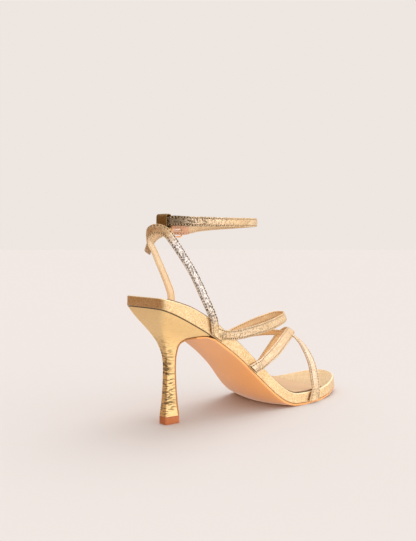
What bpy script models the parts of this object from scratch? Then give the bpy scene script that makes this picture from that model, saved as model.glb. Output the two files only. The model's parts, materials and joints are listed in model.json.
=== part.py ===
"""Strappy heeled sandal, left shoe, as the pieces that a shoemaker puts together.

Metres, +Z up, +X to the toe, +Y to the outer side of the foot. The origin is the
centre of the flat bottom of the heel's top piece, and the sole rests at Z = 0.
Stations run along the sole from the back of the seat.
"""
import math

import bmesh
import bpy
import numpy as np

# Last and heel
SOLE_LENGTH = 0.222
BALL_WIDTH = 0.077
HEEL_HEIGHT = 0.0937
TOE_SPRING = 0.0066
SOLE_CROWN = 0.0046
HEEL_SETBACK = 0.0255

# Platform, sock and outsole
PLATFORM_T = 0.0088
EDGE_ROUND = 0.0012
FOOTBED_DISH = 0.0012
SOCK_T = 0.0008
SOCK_MARGIN = 0.0022
SOCK_BACK = 0.0060
SOCK_FRONT = 0.0440
OUTSOLE_T = 0.0016
OUTSOLE_INSET = 0.0003
COVER_T = 0.0010
COVER_SHARE = 0.94
BREAST_TURN = 0.016

# Heel and top piece
BREAST_REACH = 0.0500
TOP_PIECE_T = 0.0060
TIP_BACK_WIDTH = 0.0080
TIP_FRONT_WIDTH = 0.0123
SHAFT_BACK_WIDTH = 0.0056
SHAFT_FRONT_WIDTH = 0.0094
HEEL_INSET = 0.0006

# Straps
STRAP_WIDTH = 0.0078
STRAP_T = 0.0018
LAP = 0.0002
ANKLE_WIDTH = 0.0078
ANKLE_T = 0.0018
ANKLE_RISE = 0.0575
INSTEP_RISE = 0.0620

# Rear loop and buckle
LOOP_WIDTH = 0.0100
LOOP_WALL = 0.0010
LOOP_ROOM = 0.0016
LOOP_HEADROOM = 0.0009
LOOP_TURN = math.radians(14.0)
BUCKLE_WIRE = 0.0015
BUCKLE_LENGTH = 0.0110
BUCKLE_ROOM = 0.0009
PRONG_WIRE = 0.0011

# Sections along the sole, points across it, and spacing along the straps
SOLE_SECTIONS = 46
SOLE_POINTS = 9
STRAP_STEP = 0.0042
ANKLE_STEP = 0.0045

# Clearances
SEAM = 0.0003
FOOT_GAP = 0.0005
BAR_CLEAR = 0.0011

SEAT_X = -HEEL_SETBACK
BASE_Z = OUTSOLE_T + SEAM
SEAT_TOP = HEEL_HEIGHT + PLATFORM_T

# Shares of the sole: the plumb back's turn, and half a strap foot's reach
PLUMB_BACK = 0.10
FOOT_SPAN = 0.018

COLLECTION = "strappy_heeled_sandal"

# Sole outline. Station is a share of SOLE_LENGTH, edges are shares of BALL_WIDTH.
OUTLINE = (
    # station, inner, outer
    (0.000, 0.270, 0.240),
    (0.004, 0.300, 0.270),
    (0.012, 0.318, 0.296),
    (0.030, 0.328, 0.314),
    (0.060, 0.333, 0.326),
    (0.112, 0.334, 0.332),
    (0.274, 0.326, 0.316),
    (0.411, 0.345, 0.342),
    (0.528, 0.428, 0.415),
    (0.630, 0.494, 0.468),
    (0.704, 0.510, 0.440),
    (0.773, 0.506, 0.360),
    (0.843, 0.476, 0.268),
    (0.900, 0.418, 0.192),
    (0.946, 0.352, 0.122),
    (0.977, 0.272, 0.056),
    (0.993, 0.195, -0.010),
    (1.000, 0.135, -0.050),
)

# Platform. Rise is a share of the seat's height, spring of the toe's, thickness of
# PLATFORM_T and crown, the belly across the underside, of SOLE_CROWN.
PROFILE = (
    # station, rise, spring, thickness, crown
    (0.000, 1.000, 0.00, 1.00, 0.00),
    (0.068, 0.930, 0.00, 1.17, 0.00),
    (0.135, 0.849, 0.00, 1.28, 0.00),
    (0.202, 0.763, 0.00, 1.27, 0.00),
    (0.270, 0.660, 0.00, 1.20, 0.15),
    (0.338, 0.548, 0.00, 1.12, 0.40),
    (0.406, 0.415, 0.00, 1.06, 0.70),
    (0.450, 0.315, 0.00, 1.04, 0.90),
    (0.495, 0.207, 0.00, 1.03, 1.00),
    (0.540, 0.110, 0.00, 1.02, 1.08),
    (0.586, 0.036, 0.00, 1.00, 0.86),
    (0.630, 0.006, 0.00, 1.00, 0.40),
    (0.700, 0.000, 0.00, 1.00, 0.10),
    (0.760, 0.000, 0.00, 1.00, 0.10),
    (0.830, 0.000, 0.17, 1.00, 0.10),
    (0.910, 0.000, 0.50, 1.00, 0.10),
    (1.000, 0.000, 1.00, 0.95, 0.10),
)

# Heel, from the top piece up to the seat. Back is a share of HEEL_SETBACK and front
# of BREAST_REACH. Flare goes from the shaft, 0, to the seat's outline, 1. Foot goes
# from the shaft, 0, to the top piece's outline, 1.
HEEL = (
    # height, back, front, flare, foot
    (0.000, 0.749, 0.612, 0.00, 1.00),
    (0.060, 0.772, 0.602, 0.00, 0.72),
    (0.150, 0.808, 0.590, 0.00, 0.38),
    (0.360, 0.849, 0.572, 0.00, 0.04),
    (0.500, 0.859, 0.566, 0.00, 0.00),
    (0.600, 0.837, 0.566, 0.02, 0.00),
    (0.680, 0.762, 0.576, 0.06, 0.00),
    (0.740, 0.666, 0.588, 0.11, 0.00),
    (0.790, 0.550, 0.610, 0.20, 0.00),
    (0.850, 0.386, 0.675, 0.38, 0.00),
    (0.900, 0.241, 0.775, 0.58, 0.00),
    (0.950, 0.116, 0.885, 0.80, 0.00),
    (1.000, 0.000, 1.000, 1.00, 0.00),
)

# One turn round a heel section: share along it from back to front, share across.
HEEL_RING = (
    (0.00, 0.00), (0.00, -0.80), (0.02, -0.94), (0.08, -1.00), (0.30, -1.00), (0.55, -1.00),
    (0.80, -1.00), (0.96, -1.00), (1.00, -0.90), (1.00, -0.45), (1.00, 0.00), (1.00, 0.45),
    (1.00, 0.90), (0.96, 1.00), (0.80, 1.00), (0.55, 1.00), (0.30, 1.00), (0.08, 1.00),
    (0.02, 0.94), (0.00, 0.80),
)

# Strap ends on the platform's side: station, height up the side as a share of the
# platform's thickness there, and width as a share of STRAP_WIDTH.
SLING_FOOT = ((0.240, 0.06, 1.10), (0.219, 0.50, 1.08), (0.198, 1.04, 1.02))
INSTEP_FOOT = ((0.230, 0.42, 1.00), (0.256, 0.58, 1.00), (0.281, 0.86, 1.00))
CROSS_FOOT = ((0.421, 0.06, 1.20), (0.428, 0.50, 1.18), (0.437, 1.04, 1.16))
CROSS_FAR_FOOT = ((0.690, 0.06, 1.10), (0.692, 0.50, 1.10), (0.695, 1.04, 1.05))
TOE_FOOT = ((0.724, 0.06, 1.90), (0.729, 0.50, 1.75), (0.735, 1.04, 1.46))
SHARED_FOOT = ((0.368, 0.06, 1.15), (0.379, 0.50, 1.10), (0.393, 1.04, 1.05))

# Free stretches. Station is a share of SOLE_LENGTH, side of BALL_WIDTH, and rise of
# ANKLE_RISE over the seat, or of INSTEP_RISE over the floor. Face is where the outer
# side of the leather looks, and width a share of STRAP_WIDTH.
SLING = (
    # station, side, rise, face x, face y, face z, width
    (0.189, -0.296, 0.000, -0.10, -1.00, 0.10, 0.98),
    (0.160, -0.256, 0.260, -0.28, -0.94, 0.20, 0.90),
    (0.131, -0.210, 0.475, -0.32, -0.92, 0.20, 0.90),
    (0.103, -0.150, 0.685, -0.42, -0.88, 0.20, 0.92),
    (0.081, -0.104, 0.822, -0.64, -0.75, 0.06, 0.96),
    (0.065, -0.050, 0.872, -0.88, -0.46, 0.02, 1.00),
    (0.052, 0.015, 0.872, -1.00, -0.10, 0.00, 1.00),
    (0.049, 0.088, 0.822, -0.95, 0.30, 0.00, 1.00),
    (0.062, 0.138, 0.725, -0.74, 0.67, 0.05, 0.96),
    (0.092, 0.162, 0.600, -0.50, 0.86, 0.15, 0.92),
    (0.122, 0.197, 0.450, -0.36, 0.92, 0.20, 0.90),
    (0.158, 0.240, 0.275, -0.28, 0.94, 0.20, 0.90),
    (0.193, 0.282, 0.090, -0.20, 0.97, 0.20, 0.94),
    (0.215, 0.310, -0.060, -0.05, 1.00, 0.10, 0.98),
)
INSTEP = (
    # station, side, rise, face x, face y, face z, width
    (0.342, -0.338, 1.092, 0.00, -0.99, 0.12, 1.04),
    (0.440, -0.294, 1.102, 0.00, -0.97, 0.16, 1.12),
    (0.557, -0.217, 1.122, 0.10, -0.96, 0.20, 1.16),
    (0.668, -0.122, 1.156, 0.25, -0.92, 0.24, 1.15),
    (0.732, -0.056, 1.190, 0.60, -0.70, 0.32, 1.10),
    (0.755, 0.012, 1.212, 0.88, 0.00, 0.42, 1.04),
    (0.732, 0.085, 1.212, 0.58, 0.75, 0.28, 1.02),
    (0.655, 0.160, 1.148, 0.25, 0.94, 0.22, 1.02),
    (0.562, 0.240, 1.036, 0.05, 0.98, 0.20, 1.00),
    (0.468, 0.310, 0.905, 0.00, 1.00, 0.20, 1.00),
)
CROSS = (
    # station, side, rise, face x, face y, face z, width
    (0.498, -0.380, 0.716, 0.00, -0.95, 0.22, 1.20),
    (0.560, -0.345, 0.796, 0.05, -0.92, 0.38, 1.30),
    (0.638, -0.268, 0.896, 0.15, -0.84, 0.52, 1.30),
    (0.713, -0.165, 0.960, 0.30, -0.66, 0.68, 1.22),
    (0.768, -0.070, 0.990, 0.50, -0.30, 0.80, 1.10),
    (0.781, 0.020, 0.980, 0.60, 0.25, 0.75, 1.05),
    (0.770, 0.120, 0.885, 0.45, 0.75, 0.50, 1.05),
    (0.745, 0.235, 0.648, 0.25, 0.93, 0.30, 1.06),
    (0.716, 0.340, 0.400, 0.10, 0.98, 0.20, 1.06),
)
TOE = (
    # station, side, rise, face x, face y, face z, width
    (0.742, -0.494, 0.330, -0.10, -0.98, 0.18, 1.34),
    (0.744, -0.444, 0.545, -0.14, -0.95, 0.26, 1.12),
    (0.740, -0.354, 0.748, 0.00, -0.90, 0.42, 1.00),
    (0.742, -0.232, 0.882, 0.26, -0.72, 0.62, 0.98),
    (0.742, -0.095, 0.940, 0.60, -0.20, 0.80, 1.00),
    (0.718, 0.030, 0.955, 0.55, 0.45, 0.75, 1.00),
    (0.665, 0.135, 0.965, 0.30, 0.85, 0.50, 1.00),
    (0.577, 0.225, 0.945, 0.10, 0.96, 0.30, 1.00),
    (0.478, 0.305, 0.880, 0.00, 1.00, 0.20, 1.00),
)

# Ankle strap, in three stretches. It starts at the buckle's bar, goes back through the
# rear loop and round the front of the ankle, and passes the buckle to its free tail.
ANKLE_BACK = (
    # station, side, rise
    (0.182, 0.226, 0.900),
    (0.135, 0.160, 0.940),
    (0.0985, 0.090, 0.974),
)
ANKLE_FRONT = (
    (0.110, -0.106, 0.990),
    (0.150, -0.168, 0.985),
    (0.222, -0.206, 0.985),
    (0.315, -0.218, 0.988),
    (0.420, -0.190, 0.998),
    (0.510, -0.118, 1.010),
    (0.556, -0.050, 1.018),
    (0.567, 0.010, 1.020),
    (0.550, 0.075, 1.012),
    (0.490, 0.150, 0.992),
    (0.400, 0.205, 0.965),
    (0.320, 0.228, 0.930),
)
ANKLE_TAIL = (
    (0.160, 0.288, 0.840),
    (0.122, 0.258, 0.775),
    (0.094, 0.228, 0.675),
    (0.078, 0.214, 0.560),
)
BUCKLE = (0.232, 0.262, 0.885)
REAR_LOOP = (0.0918, -0.016, 0.981)
SLOT_LENGTH = 0.0068
SLOT_WIDTH = 0.0019


def interpolate(x, xs, ys):
    """Smooth curve through (xs, ys) that doesn't overshoot between its points."""
    x, xs, ys = np.asarray(x, float), np.asarray(xs, float), np.asarray(ys, float)
    step = np.diff(xs)
    rate = np.diff(ys) / step
    slope = np.zeros_like(ys)
    same = rate[:-1] * rate[1:] > 0.0
    harmonic = 2.0 * rate[:-1] * rate[1:] / np.where(same, rate[:-1] + rate[1:], 1.0)
    slope[1:-1] = np.where(same, harmonic, 0.0)
    slope[0], slope[-1] = rate[0], rate[-1]
    i = np.clip(np.searchsorted(xs, x, side="right") - 1, 0, len(xs) - 2)
    u = (x - xs[i]) / step[i]
    value = ys[i] * (1.0 + 2.0 * u) * (1.0 - u) ** 2 + ys[i + 1] * u * u * (3.0 - 2.0 * u)
    return value + step[i] * u * (1.0 - u) * (slope[i] * (1.0 - u) - slope[i + 1] * u)


def column(table, index):
    """One named column of a table as an array."""
    return np.array([row[index] for row in table], float)


def edge(station, side):
    """Y of the sole's edge; side is -1 for the inner edge and +1 for the outer."""
    share = column(OUTLINE, 1 if side < 0 else 2)
    return side * BALL_WIDTH * interpolate(station, column(OUTLINE, 0), share)


def underside(station):
    """Height of the platform's underside over the floor."""
    stations = column(PROFILE, 0)
    rise = interpolate(station, stations, column(PROFILE, 1))
    spring = interpolate(station, stations, column(PROFILE, 2))
    return BASE_Z + rise * (HEEL_HEIGHT - BASE_Z) + spring * TOE_SPRING


def belly(station, y):
    """Drop of the underside below its edge line, most at mid width."""
    inner, outer = edge(station, -1), edge(station, 1)
    across = np.clip((2.0 * y - inner - outer) / (outer - inner), -1.0, 1.0)
    share = interpolate(station, column(PROFILE, 0), column(PROFILE, 4))
    return SOLE_CROWN * share * (1.0 - across * across)


def thickness(station):
    """Thickness of the platform, square to its underside."""
    return PLATFORM_T * interpolate(station, column(PROFILE, 0), column(PROFILE, 3))


def upward(station):
    """Unit normal of the underside in the XZ plane, as X and Z parts. The back is plumb."""
    small = 0.002
    low = np.clip(np.asarray(station, float) - small, 0.0, 1.0)
    high = np.clip(np.asarray(station, float) + small, 0.0, 1.0)
    slope = (underside(high) - underside(low)) / ((high - low) * SOLE_LENGTH)
    size = np.sqrt(1.0 + slope * slope)
    lean = np.clip(np.asarray(station, float) / PLUMB_BACK, 0.0, 1.0)
    return -slope / size * lean, 1.0 / size


def over_sole(station, y, lift):
    """Points lifted square off the underside; all three may be arrays."""
    nx, nz = upward(station)
    x = SEAT_X + np.asarray(station, float) * SOLE_LENGTH + lift * nx
    z = underside(station) + lift * nz
    return np.stack(np.broadcast_arrays(x, y, z), axis=-1)


def stations_along(first, last, count):
    """Stations that crowd towards both ends, where the outline turns."""
    u = np.linspace(0.0, 1.0, count)
    crowded = 0.5 - 0.5 * np.cos(math.pi * u)
    return first + (last - first) * (0.35 * u + 0.65 * crowded)


def sole_stations():
    """Stations of the platform's sections, which the outsole shares."""
    return stations_along(0.0, 1.0, SOLE_SECTIONS)


def material(name, colour, roughness, metallic):
    """Principled material in one colour."""
    made = bpy.data.materials.new(name)
    made.use_nodes = True
    shader = made.node_tree.nodes["Principled BSDF"]
    shader.inputs["Base Color"].default_value = (*colour, 1.0)
    shader.inputs["Roughness"].default_value = roughness
    shader.inputs["Metallic"].default_value = metallic
    made.diffuse_color = (*colour, 1.0)
    return made


def add_object(name, mesh, look, group, smooth_angle=35.0):
    """Link a mesh into a collection with its material, normals and smoothing."""
    work = bmesh.new()
    work.from_mesh(mesh)
    bmesh.ops.recalc_face_normals(work, faces=work.faces)
    work.to_mesh(mesh)
    work.free()
    mesh.shade_smooth()
    mesh.set_sharp_from_angle(angle=math.radians(smooth_angle))
    made = bpy.data.objects.new(name, mesh)
    made.data.materials.append(look)
    group.objects.link(made)
    return made


def loft_mesh(name, rings, cyclic=False):
    """Skin over rings of equal point count, closed with end caps or joined round."""
    rings = np.asarray(rings, float)
    count, around = rings.shape[:2]
    index = np.arange(count * around).reshape(count, around)
    ahead = np.roll(index, -1, axis=1)
    rows = count if cyclic else count - 1
    after = np.roll(index, -1, axis=0)
    after_ahead = np.roll(ahead, -1, axis=0)
    quads = np.stack([index[:rows], ahead[:rows], after_ahead[:rows], after[:rows]], axis=-1)
    faces = [tuple(int(i) for i in quad) for quad in quads.reshape(-1, 4)]
    if not cyclic:
        faces.append(tuple(int(i) for i in index[0][::-1]))
        faces.append(tuple(int(i) for i in index[-1]))
    mesh = bpy.data.meshes.new(name)
    mesh.from_pydata(rings.reshape(-1, 3).tolist(), [], faces)
    return mesh


def sole_skin(station, y, lift):
    """Points parallel to the crowned underside, never below the resting plane."""
    points = over_sole(station, y, lift)
    points[..., 2] = np.maximum(points[..., 2] - belly(station, y), BASE_Z + lift)
    return points


def make_platform(look, group):
    """Wrapped board that carries the foot: flat sides, rounded rim, dished footbed."""
    rings = []
    for station in sole_stations():
        inner, outer = edge(station, -1), edge(station, 1)
        middle, half = 0.5 * (inner + outer), 0.5 * (outer - inner)
        high = thickness(station)
        flat = half - EDGE_ROUND
        across = np.linspace(-1.0, 1.0, SOLE_POINTS)
        below = sole_skin(station, middle + half * across, 0.0)
        share = np.array((1.0, 0.85, 0.5, 0.0, -0.5, -0.85, -1.0))
        above = over_sole(station, middle + flat * share, high - FOOTBED_DISH * (1.0 - share ** 2))
        bend = np.array((1.0, 0.7))
        rim_y = half - EDGE_ROUND * (1.0 - bend)
        rim_z = high - EDGE_ROUND * np.array((1.0, 0.3))
        outer_rim = over_sole(station, middle + rim_y, rim_z)
        inner_rim = over_sole(station, middle - rim_y, rim_z)[::-1]
        rings.append(np.concatenate([below, outer_rim, above, inner_rim]))
    return add_object("platform", loft_mesh("platform", rings), look, group)


def make_sock(look, group):
    """Thin insole sock, laid in the dish of the platform."""
    first = SOCK_BACK / SOLE_LENGTH
    last = 1.0 - SOCK_FRONT / SOLE_LENGTH
    rings = []
    for station in stations_along(first, last, 40):
        inner, outer = edge(station, -1), edge(station, 1)
        middle, half = 0.5 * (inner + outer), 0.5 * (outer - inner)
        low = thickness(station) + SEAM
        across = np.linspace(-1.0, 1.0, 7) * (half - SOCK_MARGIN)
        sag = FOOTBED_DISH * (1.0 - (across / (half - EDGE_ROUND)) ** 2)
        upper = over_sole(station, middle + across, low + SOCK_T - sag)
        lower = over_sole(station, middle + across, low - sag)
        rings.append(np.concatenate([lower, upper[::-1]]))
    return add_object("insole_sock", loft_mesh("insole_sock", rings), look, group)


def heel_half_width(height, along, station):
    """Half width of the heel at a share of its height and a share from back to front."""
    flare = interpolate(height, column(HEEL, 0), column(HEEL, 3))
    foot = interpolate(height, column(HEEL, 0), column(HEEL, 4))
    back = 0.5 * (SHAFT_BACK_WIDTH + foot * (TIP_BACK_WIDTH - SHAFT_BACK_WIDTH))
    front = 0.5 * (SHAFT_FRONT_WIDTH + foot * (TIP_FRONT_WIDTH - SHAFT_FRONT_WIDTH))
    shaft = back + (front - back) * along
    seat_inner = -edge(station, -1) - HEEL_INSET
    seat_outer = edge(station, 1) - HEEL_INSET
    return shaft + flare * (seat_inner - shaft), shaft + flare * (seat_outer - shaft)


def heel_ring(height):
    """One section of the heel, level at the top piece and along the seat at the top."""
    back = HEEL_SETBACK * interpolate(height, column(HEEL, 0), column(HEEL, 1))
    front = BREAST_REACH * interpolate(height, column(HEEL, 0), column(HEEL, 2))
    foot_z = TOP_PIECE_T + SEAM
    points = []
    for along, across in HEEL_RING:
        x = back + (front - back) * along
        station = max(x, 0.0) / SOLE_LENGTH
        inner, outer = heel_half_width(height, along, station)
        y = across * (inner if across < 0 else outer)
        top = underside(station) - belly(station, y) - SEAM
        points.append((SEAT_X + x, y, foot_z + (top - foot_z) * height))
    return np.array(points)


def make_heel(look, group):
    """Covered heel: a slim squared shaft that flares to the seat."""
    heights = np.concatenate([np.linspace(0.0, 0.6, 9), np.linspace(0.65, 1.0, 13)])
    rings = [heel_ring(h) for h in heights]
    return add_object("heel", loft_mesh("heel", rings), look, group, 30.0)


def make_top_piece(look, group):
    """Top piece under the heel, with the same outline and a flat bottom."""
    ring = heel_ring(0.0)
    ring[:, 0] += np.where(ring[:, 0] > 0.0, COVER_T + SEAM, 0.0)
    rings = []
    for z, shrink in ((0.0, 0.0004), (0.0004, 0.0), (TOP_PIECE_T, 0.0)):
        level = ring.copy()
        middle = level[:, :2].mean(axis=0)
        reach = level[:, :2] - middle
        size = np.linalg.norm(reach, axis=1, keepdims=True)
        level[:, :2] = middle + reach * (1.0 - shrink / size)
        level[:, 2] = z
        rings.append(level)
    return add_object("top_piece", loft_mesh("top_piece", rings), look, group, 30.0)


def breast_rows():
    """Rows down the heel's breast: X, Z, inner edge and outer edge."""
    rows = []
    for height in np.concatenate([np.linspace(0.98, 0.65, 15), np.linspace(0.6, 0.0, 9)]):
        front = BREAST_REACH * interpolate(height, column(HEEL, 0), column(HEEL, 2))
        station = front / SOLE_LENGTH
        foot_z = TOP_PIECE_T + SEAM
        z = foot_z + (underside(station) - SEAM - foot_z) * height
        inner, outer = heel_half_width(height, 1.0, station)
        rows.append((SEAT_X + front, z, -COVER_SHARE * inner, COVER_SHARE * outer))
    return np.array(rows)


def make_outsole(look, group):
    """Leather outsole that runs from the toe to the seat and on down the heel's breast."""
    share = np.linspace(1.0, -1.0, SOLE_POINTS)
    turn = BREAST_REACH / SOLE_LENGTH + BREAST_TURN
    ahead = [station for station in sole_stations() if station > turn + 0.5 * BREAST_TURN]
    rings = []
    for station in ahead[::-1] + [turn]:
        inner, outer = edge(station, -1) + OUTSOLE_INSET, edge(station, 1) - OUTSOLE_INSET
        y = 0.5 * (inner + outer) + 0.5 * (outer - inner) * share
        above = sole_skin(station, y, -SEAM)
        below = sole_skin(station, y, -BASE_Z)
        rings.append(np.concatenate([above, below[::-1]]))
    rows = breast_rows()
    run = unit(np.gradient(rows[:, :2], axis=0))
    outward = np.stack([-run[:, 1], run[:, 0]], axis=1)
    near = rows[:, :2] + outward * SEAM
    far = near + outward * COVER_T
    for high, low, row in zip(near, far, rows):
        y = 0.5 * (row[2] + row[3]) + 0.5 * (row[3] - row[2]) * share
        above = np.stack([np.full_like(y, high[0]), y, np.full_like(y, high[1])], axis=1)
        below = np.stack([np.full_like(y, low[0]), y, np.full_like(y, low[1])], axis=1)
        rings.append(np.concatenate([above, below[::-1]]))
    return add_object("outsole", loft_mesh("outsole", rings), look, group)


def smooth_path(points, step):
    """Even points on a smooth curve through the given rows; all columns are carried."""
    points = np.asarray(points, float)
    chord = np.sqrt(np.linalg.norm(np.diff(points[:, :3], axis=0), axis=1))
    knots = np.concatenate([[0.0], np.cumsum(chord)])
    rate = np.diff(points, axis=0) / np.diff(knots)[:, None]
    gap = np.diff(knots)
    slope = np.empty_like(points)
    weight = (gap[1:] / (gap[1:] + gap[:-1]))[:, None]
    slope[1:-1] = rate[:-1] * weight + rate[1:] * (1.0 - weight)
    slope[0], slope[-1] = rate[0], rate[-1]
    fine = np.linspace(0.0, knots[-1], 40 * len(points))
    i = np.clip(np.searchsorted(knots, fine, side="right") - 1, 0, len(knots) - 2)
    u = ((fine - knots[i]) / gap[i])[:, None]
    curve = points[i] * (1.0 + 2.0 * u) * (1.0 - u) ** 2 + points[i + 1] * u * u * (3.0 - 2.0 * u)
    curve += gap[i][:, None] * u * (1.0 - u) * (slope[i] * (1.0 - u) - slope[i + 1] * u)
    length = np.concatenate([[0.0], np.cumsum(np.linalg.norm(np.diff(curve[:, :3], axis=0), axis=1))])
    even = np.linspace(0.0, length[-1], max(6, int(round(length[-1] / step)) + 1))
    return np.stack([np.interp(even, length, curve[:, c]) for c in range(points.shape[1])], axis=1)


def unit(vectors):
    """Rows scaled to length one."""
    return vectors / np.linalg.norm(vectors, axis=-1, keepdims=True)


def band_mesh(name, path, width, strap_t, trims=()):
    """Flat padded strap along rows of place, facing and width share.

    Trims are the directions in which the first and last ends are cut, or None for a
    square end.
    """
    centre, facing = path[:, :3], path[:, 3:6]
    run = unit(np.gradient(centre, axis=0))
    across = unit(np.cross(run, facing))
    face = np.cross(across, run)
    for last, trim in zip((0, -1), trims):
        if trim is None:
            continue
        along = np.array(trim) * math.copysign(1.0, float(np.dot(trim, across[last])))
        inward = 1 if last == 0 else -2
        for ring, share in ((last, 1.0), (inward, 0.5)):
            mixed = unit(along * share + across[ring] * (1.0 - share))
            across[ring] = mixed / np.linalg.norm(np.cross(mixed, run[ring]))
    section = np.array([
        (-0.50, 0.00), (-0.50, 0.55), (-0.34, 0.86), (-0.17, 1.00),
        (0.17, 1.00), (0.34, 0.86), (0.50, 0.55), (0.50, 0.00),
    ])
    widths = width * path[:, 6]
    rings = centre[:, None] + across[:, None] * (section[:, 0] * widths[:, None])[..., None]
    rings = rings + face[:, None] * ((section[:, 1] - 0.5) * strap_t)[None, :, None]
    return loft_mesh(name, rings)


def foot_rows(foot, side, strap_t):
    """Strap centre on the platform's side, from the outsole up to the footbed's edge."""
    rows = []
    for station, up, width in foot:
        y = edge(station, side) + side * (FOOT_GAP + 0.5 * strap_t)
        point = over_sole(station, y, up * thickness(station))
        ends = edge(np.array([station - FOOT_SPAN, station + FOOT_SPAN]), side)
        turn = (ends[1] - ends[0]) / (2.0 * FOOT_SPAN * SOLE_LENGTH)
        rows.append((*point, -side * turn, float(side), 0.0, width))
    return rows


def sole_run(foot, side):
    """Direction of the sole's edge where a strap's foot starts."""
    station, half_step = foot[0][0], 0.01
    ends = [over_sole(s, edge(s, side), 0.0) for s in (station - half_step, station + half_step)]
    return unit(ends[1] - ends[0])


def free_rows(table, low, rise):
    """Rows of a strap table as places and facings in the model's frame."""
    rows = []
    for station, side, up, face_x, face_y, face_z, width in table:
        place = (SEAT_X + station * SOLE_LENGTH, side * BALL_WIDTH, low + up * rise)
        rows.append((*place, face_x, face_y, face_z, width))
    return rows


def strap_mesh(name, inner_foot, table, outer_foot, low, rise, strap_t):
    """One strap of the upper, from its inner foot over the foot to its outer one."""
    rows = foot_rows(inner_foot, -1, strap_t) + free_rows(table, low, rise)
    rows += foot_rows(outer_foot, 1, strap_t)[::-1]
    lapped = inner_foot is INSTEP_FOOT
    trims = (None if lapped else sole_run(inner_foot, -1), sole_run(outer_foot, 1))
    return band_mesh(name, smooth_path(rows, STRAP_STEP), STRAP_WIDTH, strap_t, trims)


def make_upper(look, group, guides):
    """Sling and three forefoot straps, joined where they share a foot or cross."""
    under_t = STRAP_T - LAP
    sling = strap_mesh("upper", SLING_FOOT, SLING, SLING_FOOT, SEAT_TOP, ANKLE_RISE, STRAP_T)
    upper = add_object("upper", sling, look, group)
    others = (
        strap_mesh("instep", INSTEP_FOOT, INSTEP, SHARED_FOOT, 0.0, INSTEP_RISE, under_t),
        strap_mesh("cross", CROSS_FOOT, CROSS, CROSS_FAR_FOOT, 0.0, INSTEP_RISE, STRAP_T),
        strap_mesh("toe", TOE_FOOT, TOE, SHARED_FOOT, 0.0, INSTEP_RISE, STRAP_T),
    )
    for mesh in others:
        guide = add_object("guide_" + mesh.name, mesh, look, guides)
        guide.hide_render = True
        guide.display_type = "WIRE"
        join = upper.modifiers.new("join_" + mesh.name, "BOOLEAN")
        join.operation = "UNION"
        join.solver = "EXACT"
        join.object = guide
    return upper


def ankle_place(station, side, rise):
    """Point at the height of the ankle, in the model's frame."""
    return np.array((SEAT_X + station * SOLE_LENGTH, side * BALL_WIDTH, SEAT_TOP + rise * ANKLE_RISE))


def ankle_rows():
    """Ankle strap rows, with a level facing that looks out of the ring."""
    buckle, loop = ankle_place(*BUCKLE), ankle_place(*REAR_LOOP)
    half = 0.5 * BUCKLE_LENGTH
    pass_by = 0.5 * (BUCKLE_WIRE + ANKLE_T) + BAR_CLEAR
    rows = [buckle - (half + 0.5 * BUCKLE_WIRE + BAR_CLEAR, 0.0, 0.0)]
    rows += [ankle_place(*row) for row in ANKLE_BACK]
    reach = 0.5 * LOOP_WIDTH * np.array((-math.sin(LOOP_TURN), math.cos(LOOP_TURN), 0.0))
    rows += [loop + reach, loop - reach]
    rows += [ankle_place(*row) for row in ANKLE_FRONT]
    rows += [buckle + (half, -pass_by, 0.0), buckle + (-half, pass_by, 0.0)]
    rows += [ankle_place(*row) for row in ANKLE_TAIL]
    rows = np.array(rows)
    run = unit(np.gradient(rows, axis=0))
    facing = unit(np.cross(run, (0.0, 0.0, 1.0)))
    return np.concatenate([rows, facing, np.ones((len(rows), 1))], axis=1)


def make_ankle_strap(look, group, guides):
    """Ankle strap in one length, slotted where the prong comes through."""
    path = smooth_path(ankle_rows(), ANKLE_STEP)
    strap = add_object("ankle_strap", band_mesh("ankle_strap", path, ANKLE_WIDTH, ANKLE_T), look, group)
    bpy.ops.mesh.primitive_cube_add(size=1.0, location=ankle_place(*BUCKLE))
    slot = bpy.context.object
    slot.name = "guide_slot"
    slot.scale = (SLOT_LENGTH, 4.0 * ANKLE_T, SLOT_WIDTH)
    for collection in list(slot.users_collection):
        collection.objects.unlink(slot)
    guides.objects.link(slot)
    slot.hide_render = True
    slot.display_type = "WIRE"
    cut = strap.modifiers.new("prong_slot", "BOOLEAN")
    cut.operation = "DIFFERENCE"
    cut.solver = "EXACT"
    cut.object = slot
    return strap


def box_ring_mesh(name, inside, wall, width, rounding, turn):
    """Flat leather ring: a rounded rectangle in XZ, as wide as width along Y, turned about Z."""
    half_x, half_z = 0.5 * inside[0], 0.5 * inside[1]
    rings = []
    for angle in np.linspace(0.0, 2.0 * math.pi, 24, endpoint=False):
        c, s = math.cos(angle), math.sin(angle)
        power = 2.0 / rounding
        x = half_x * math.copysign(abs(c) ** power, c)
        z = half_z * math.copysign(abs(s) ** power, s)
        out = np.array([c / half_x, s / half_z])
        out /= np.linalg.norm(out)
        ring = []
        for along, lift in ((-0.5, 0.0), (0.5, 0.0), (0.5, wall), (-0.5, wall)):
            flat_x, flat_y = x + out[0] * lift, along * width
            ring.append((flat_x * math.cos(turn) - flat_y * math.sin(turn),
                         flat_x * math.sin(turn) + flat_y * math.cos(turn),
                         z + out[1] * lift))
        rings.append(ring)
    return loft_mesh(name, rings, cyclic=True)


def make_rear_loop(look, group):
    """Leather loop at the back of the sling, round the ankle strap."""
    inside = (ANKLE_T + 2.0 * LOOP_ROOM, ANKLE_WIDTH + 2.0 * LOOP_HEADROOM)
    mesh = box_ring_mesh("rear_loop", inside, LOOP_WALL, LOOP_WIDTH, 5.0, LOOP_TURN)
    made = add_object("rear_loop", mesh, look, group)
    made.location = ankle_place(*REAR_LOOP)
    return made


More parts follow.
